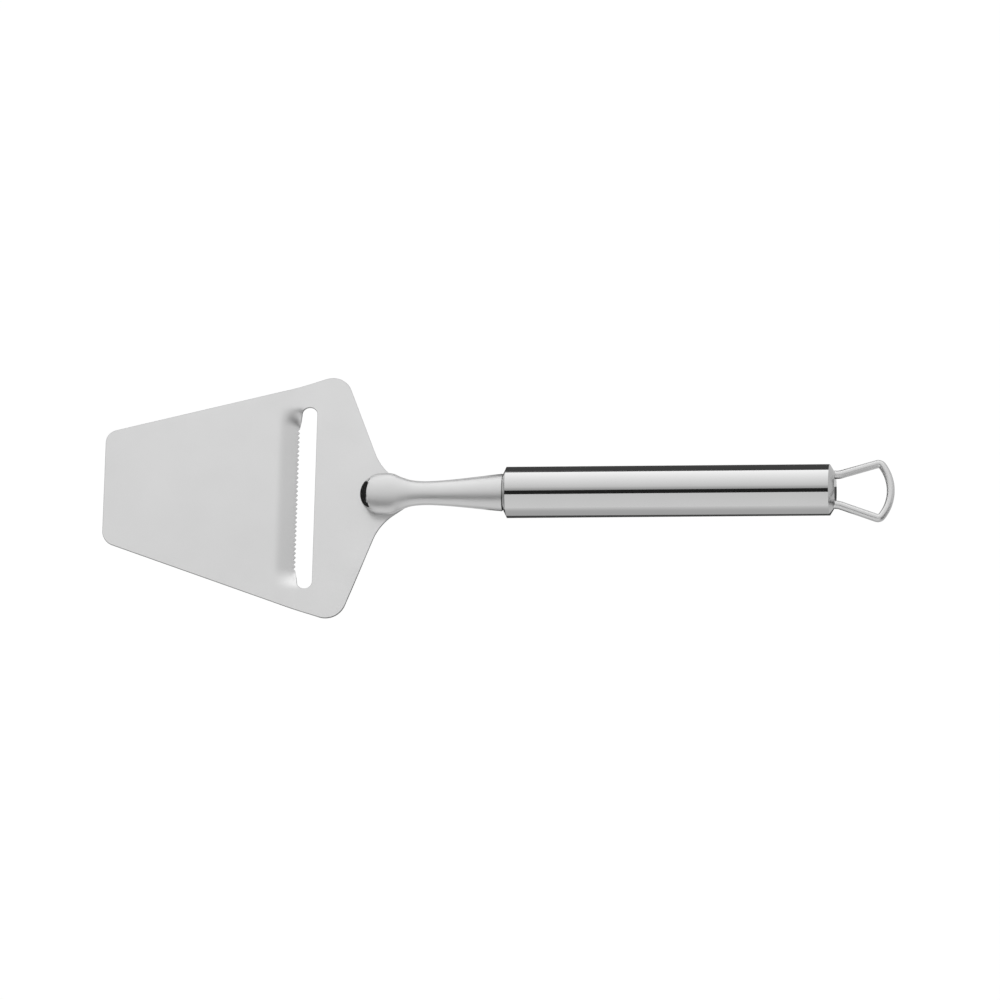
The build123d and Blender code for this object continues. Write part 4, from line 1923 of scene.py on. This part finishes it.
    def floor_material(self) -> Material:
        """White paper floor that keeps a faint shadow of the slicer.

        Returns:
            The material.
        """
        material, tree = empty_material("white_paper_floor")
        colour = linear_colour(self.floor_colour)
        missing = self.floor_margin - colour[0] * self.ambient
        seen = {"Value": self.seen_share(tree), "Value_001": missing}
        strength = add_node(tree, "ShaderNodeMath", seen, operation="MULTIPLY")
        glow = add_node(tree, "ShaderNodeEmission", {"Strength": strength})
        paper = add_node(tree, "ShaderNodeBsdfDiffuse", {"Color": colour})
        both = add_node(tree, "ShaderNodeAddShader", {"Shader": glow, "Shader_001": paper})
        add_node(tree, "ShaderNodeOutputMaterial", {"Surface": both})
        return material

    def light_world(self) -> None:
        """White backdrop all round, with a plain soft level of light on what is not mirrored."""
        world = bpy.data.worlds.new("white_backdrop")
        world.use_nodes = True
        tree = world.node_tree
        tree.nodes.clear()
        seen = {"Value": self.seen_share(tree), "To Min": self.ambient, "To Max": 1.0}
        strength = add_node(tree, "ShaderNodeMapRange", seen)
        back = add_node(tree, "ShaderNodeBackground", {"Strength": strength})
        add_node(tree, "ShaderNodeOutputWorld", {"Surface": back})
        bpy.context.scene.world = world

    def build(self) -> None:
        """Set up the floor, the tent and the backdrop."""
        half = self.floor_size / 2
        corners = [(x * half, y * half, -self.floor_drop) for x, y in ((-1, -1), (1, -1), (1, 1), (-1, 1))]
        floor = show("studio_floor", mesh_of("studio_floor", corners, [(0, 1, 2, 3)]))
        floor.data.materials.append(self.floor_material())
        tent = show("studio_tent", self.tent_mesh())
        tent.data.materials.append(self.tent_material())
        tent.visible_camera = False
        tent.visible_diffuse = False
        tent.visible_transmission = False
        tent.visible_shadow = False
        self.light_world()
        bpy.context.scene.view_settings.view_transform = "Standard"
        LOG.info("studio: floor, light tent of %d cards and white backdrop", len(self.cards))


@dataclass(frozen=True)
class Photographer:
    """Camera far in front of and above the slicer, with a long lens.

    It is set up against the slicer, so its aim and its turns are in the drawing frame, in
    millimetres and degrees. Its distance and the width that it sees are in metres.
    """

    aim: Point3 = (70.094, -2.594, 4.056)
    turn: Point3 = (18.037, 6.088, 1.4935)
    distance: float = 3.5
    frame_width: float = 0.3413
    sensor: float = 36.0
    clip_start: float = 0.035
    clip_end: float = 35.0

    def build(self, pose: RestPose) -> None:
        """Make the camera and give it to the scene.

        Args:
            pose: How the slicer lies.
        """
        data = bpy.data.cameras.new("long_lens")
        data.sensor_width = self.sensor
        data.lens = self.sensor * self.distance / self.frame_width
        data.clip_start = self.clip_start
        data.clip_end = self.clip_end
        camera = show("camera", data)
        against_slicer = Euler([radians(angle) for angle in self.turn]).to_matrix()
        turned = Matrix.Rotation(-pose.tilt, 3, "Y") @ against_slicer
        camera.rotation_euler = turned.to_euler()
        camera.location = pose.matrix() @ Vector(self.aim) + turned @ Vector((0.0, 0.0, self.distance))
        bpy.context.scene.camera = camera
        LOG.info("camera: %.0f mm lens at %.2f m", data.lens, self.distance)


def resting(blade: Blade, handle: Handle) -> RestPose:
    """Work out how the slicer lies, from its sizes and from where the CAD's tube is.

    Args:
        blade: The blade.
        handle: The handle.

    Returns:
        The placement of the drawing frame.
    """
    tube_bottom = handle.axis_height - handle.radius
    reach = handle.start_x + handle.front_edge_axial - blade.grind_x
    untied = RestPose(atan2(blade.grind_z - tube_bottom, reach), Vector())
    low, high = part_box("handle_tube")
    shift = (Vector(low) + Vector(high)) / 2 - untied.matrix() @ Vector(handle.tube_middle())
    LOG.info("rest pose: handle %.2f degrees above the table", degrees(untied.tilt))
    return RestPose(untied.tilt, shift)


def main() -> None:
    """Load the frame and build the slicer and the studio."""
    logging.basicConfig(level=logging.INFO, format="%(name)s: %(message)s")
    for startup in list(bpy.data.objects):
        bpy.data.objects.remove(startup)
    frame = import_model()
    blade = Blade()
    handle = Handle()
    neck = Neck(blade, handle)
    loop = HangingLoop(handle)
    pose = resting(blade, handle)
    blade.build(pose)
    neck.build(pose)
    handle.build(pose, loop.leg_holes())
    loop.build(pose, frame["nodes"]["loop_welds"])
    Studio().build()
    Photographer().build(pose)


if __name__ == "__main__":
    main()
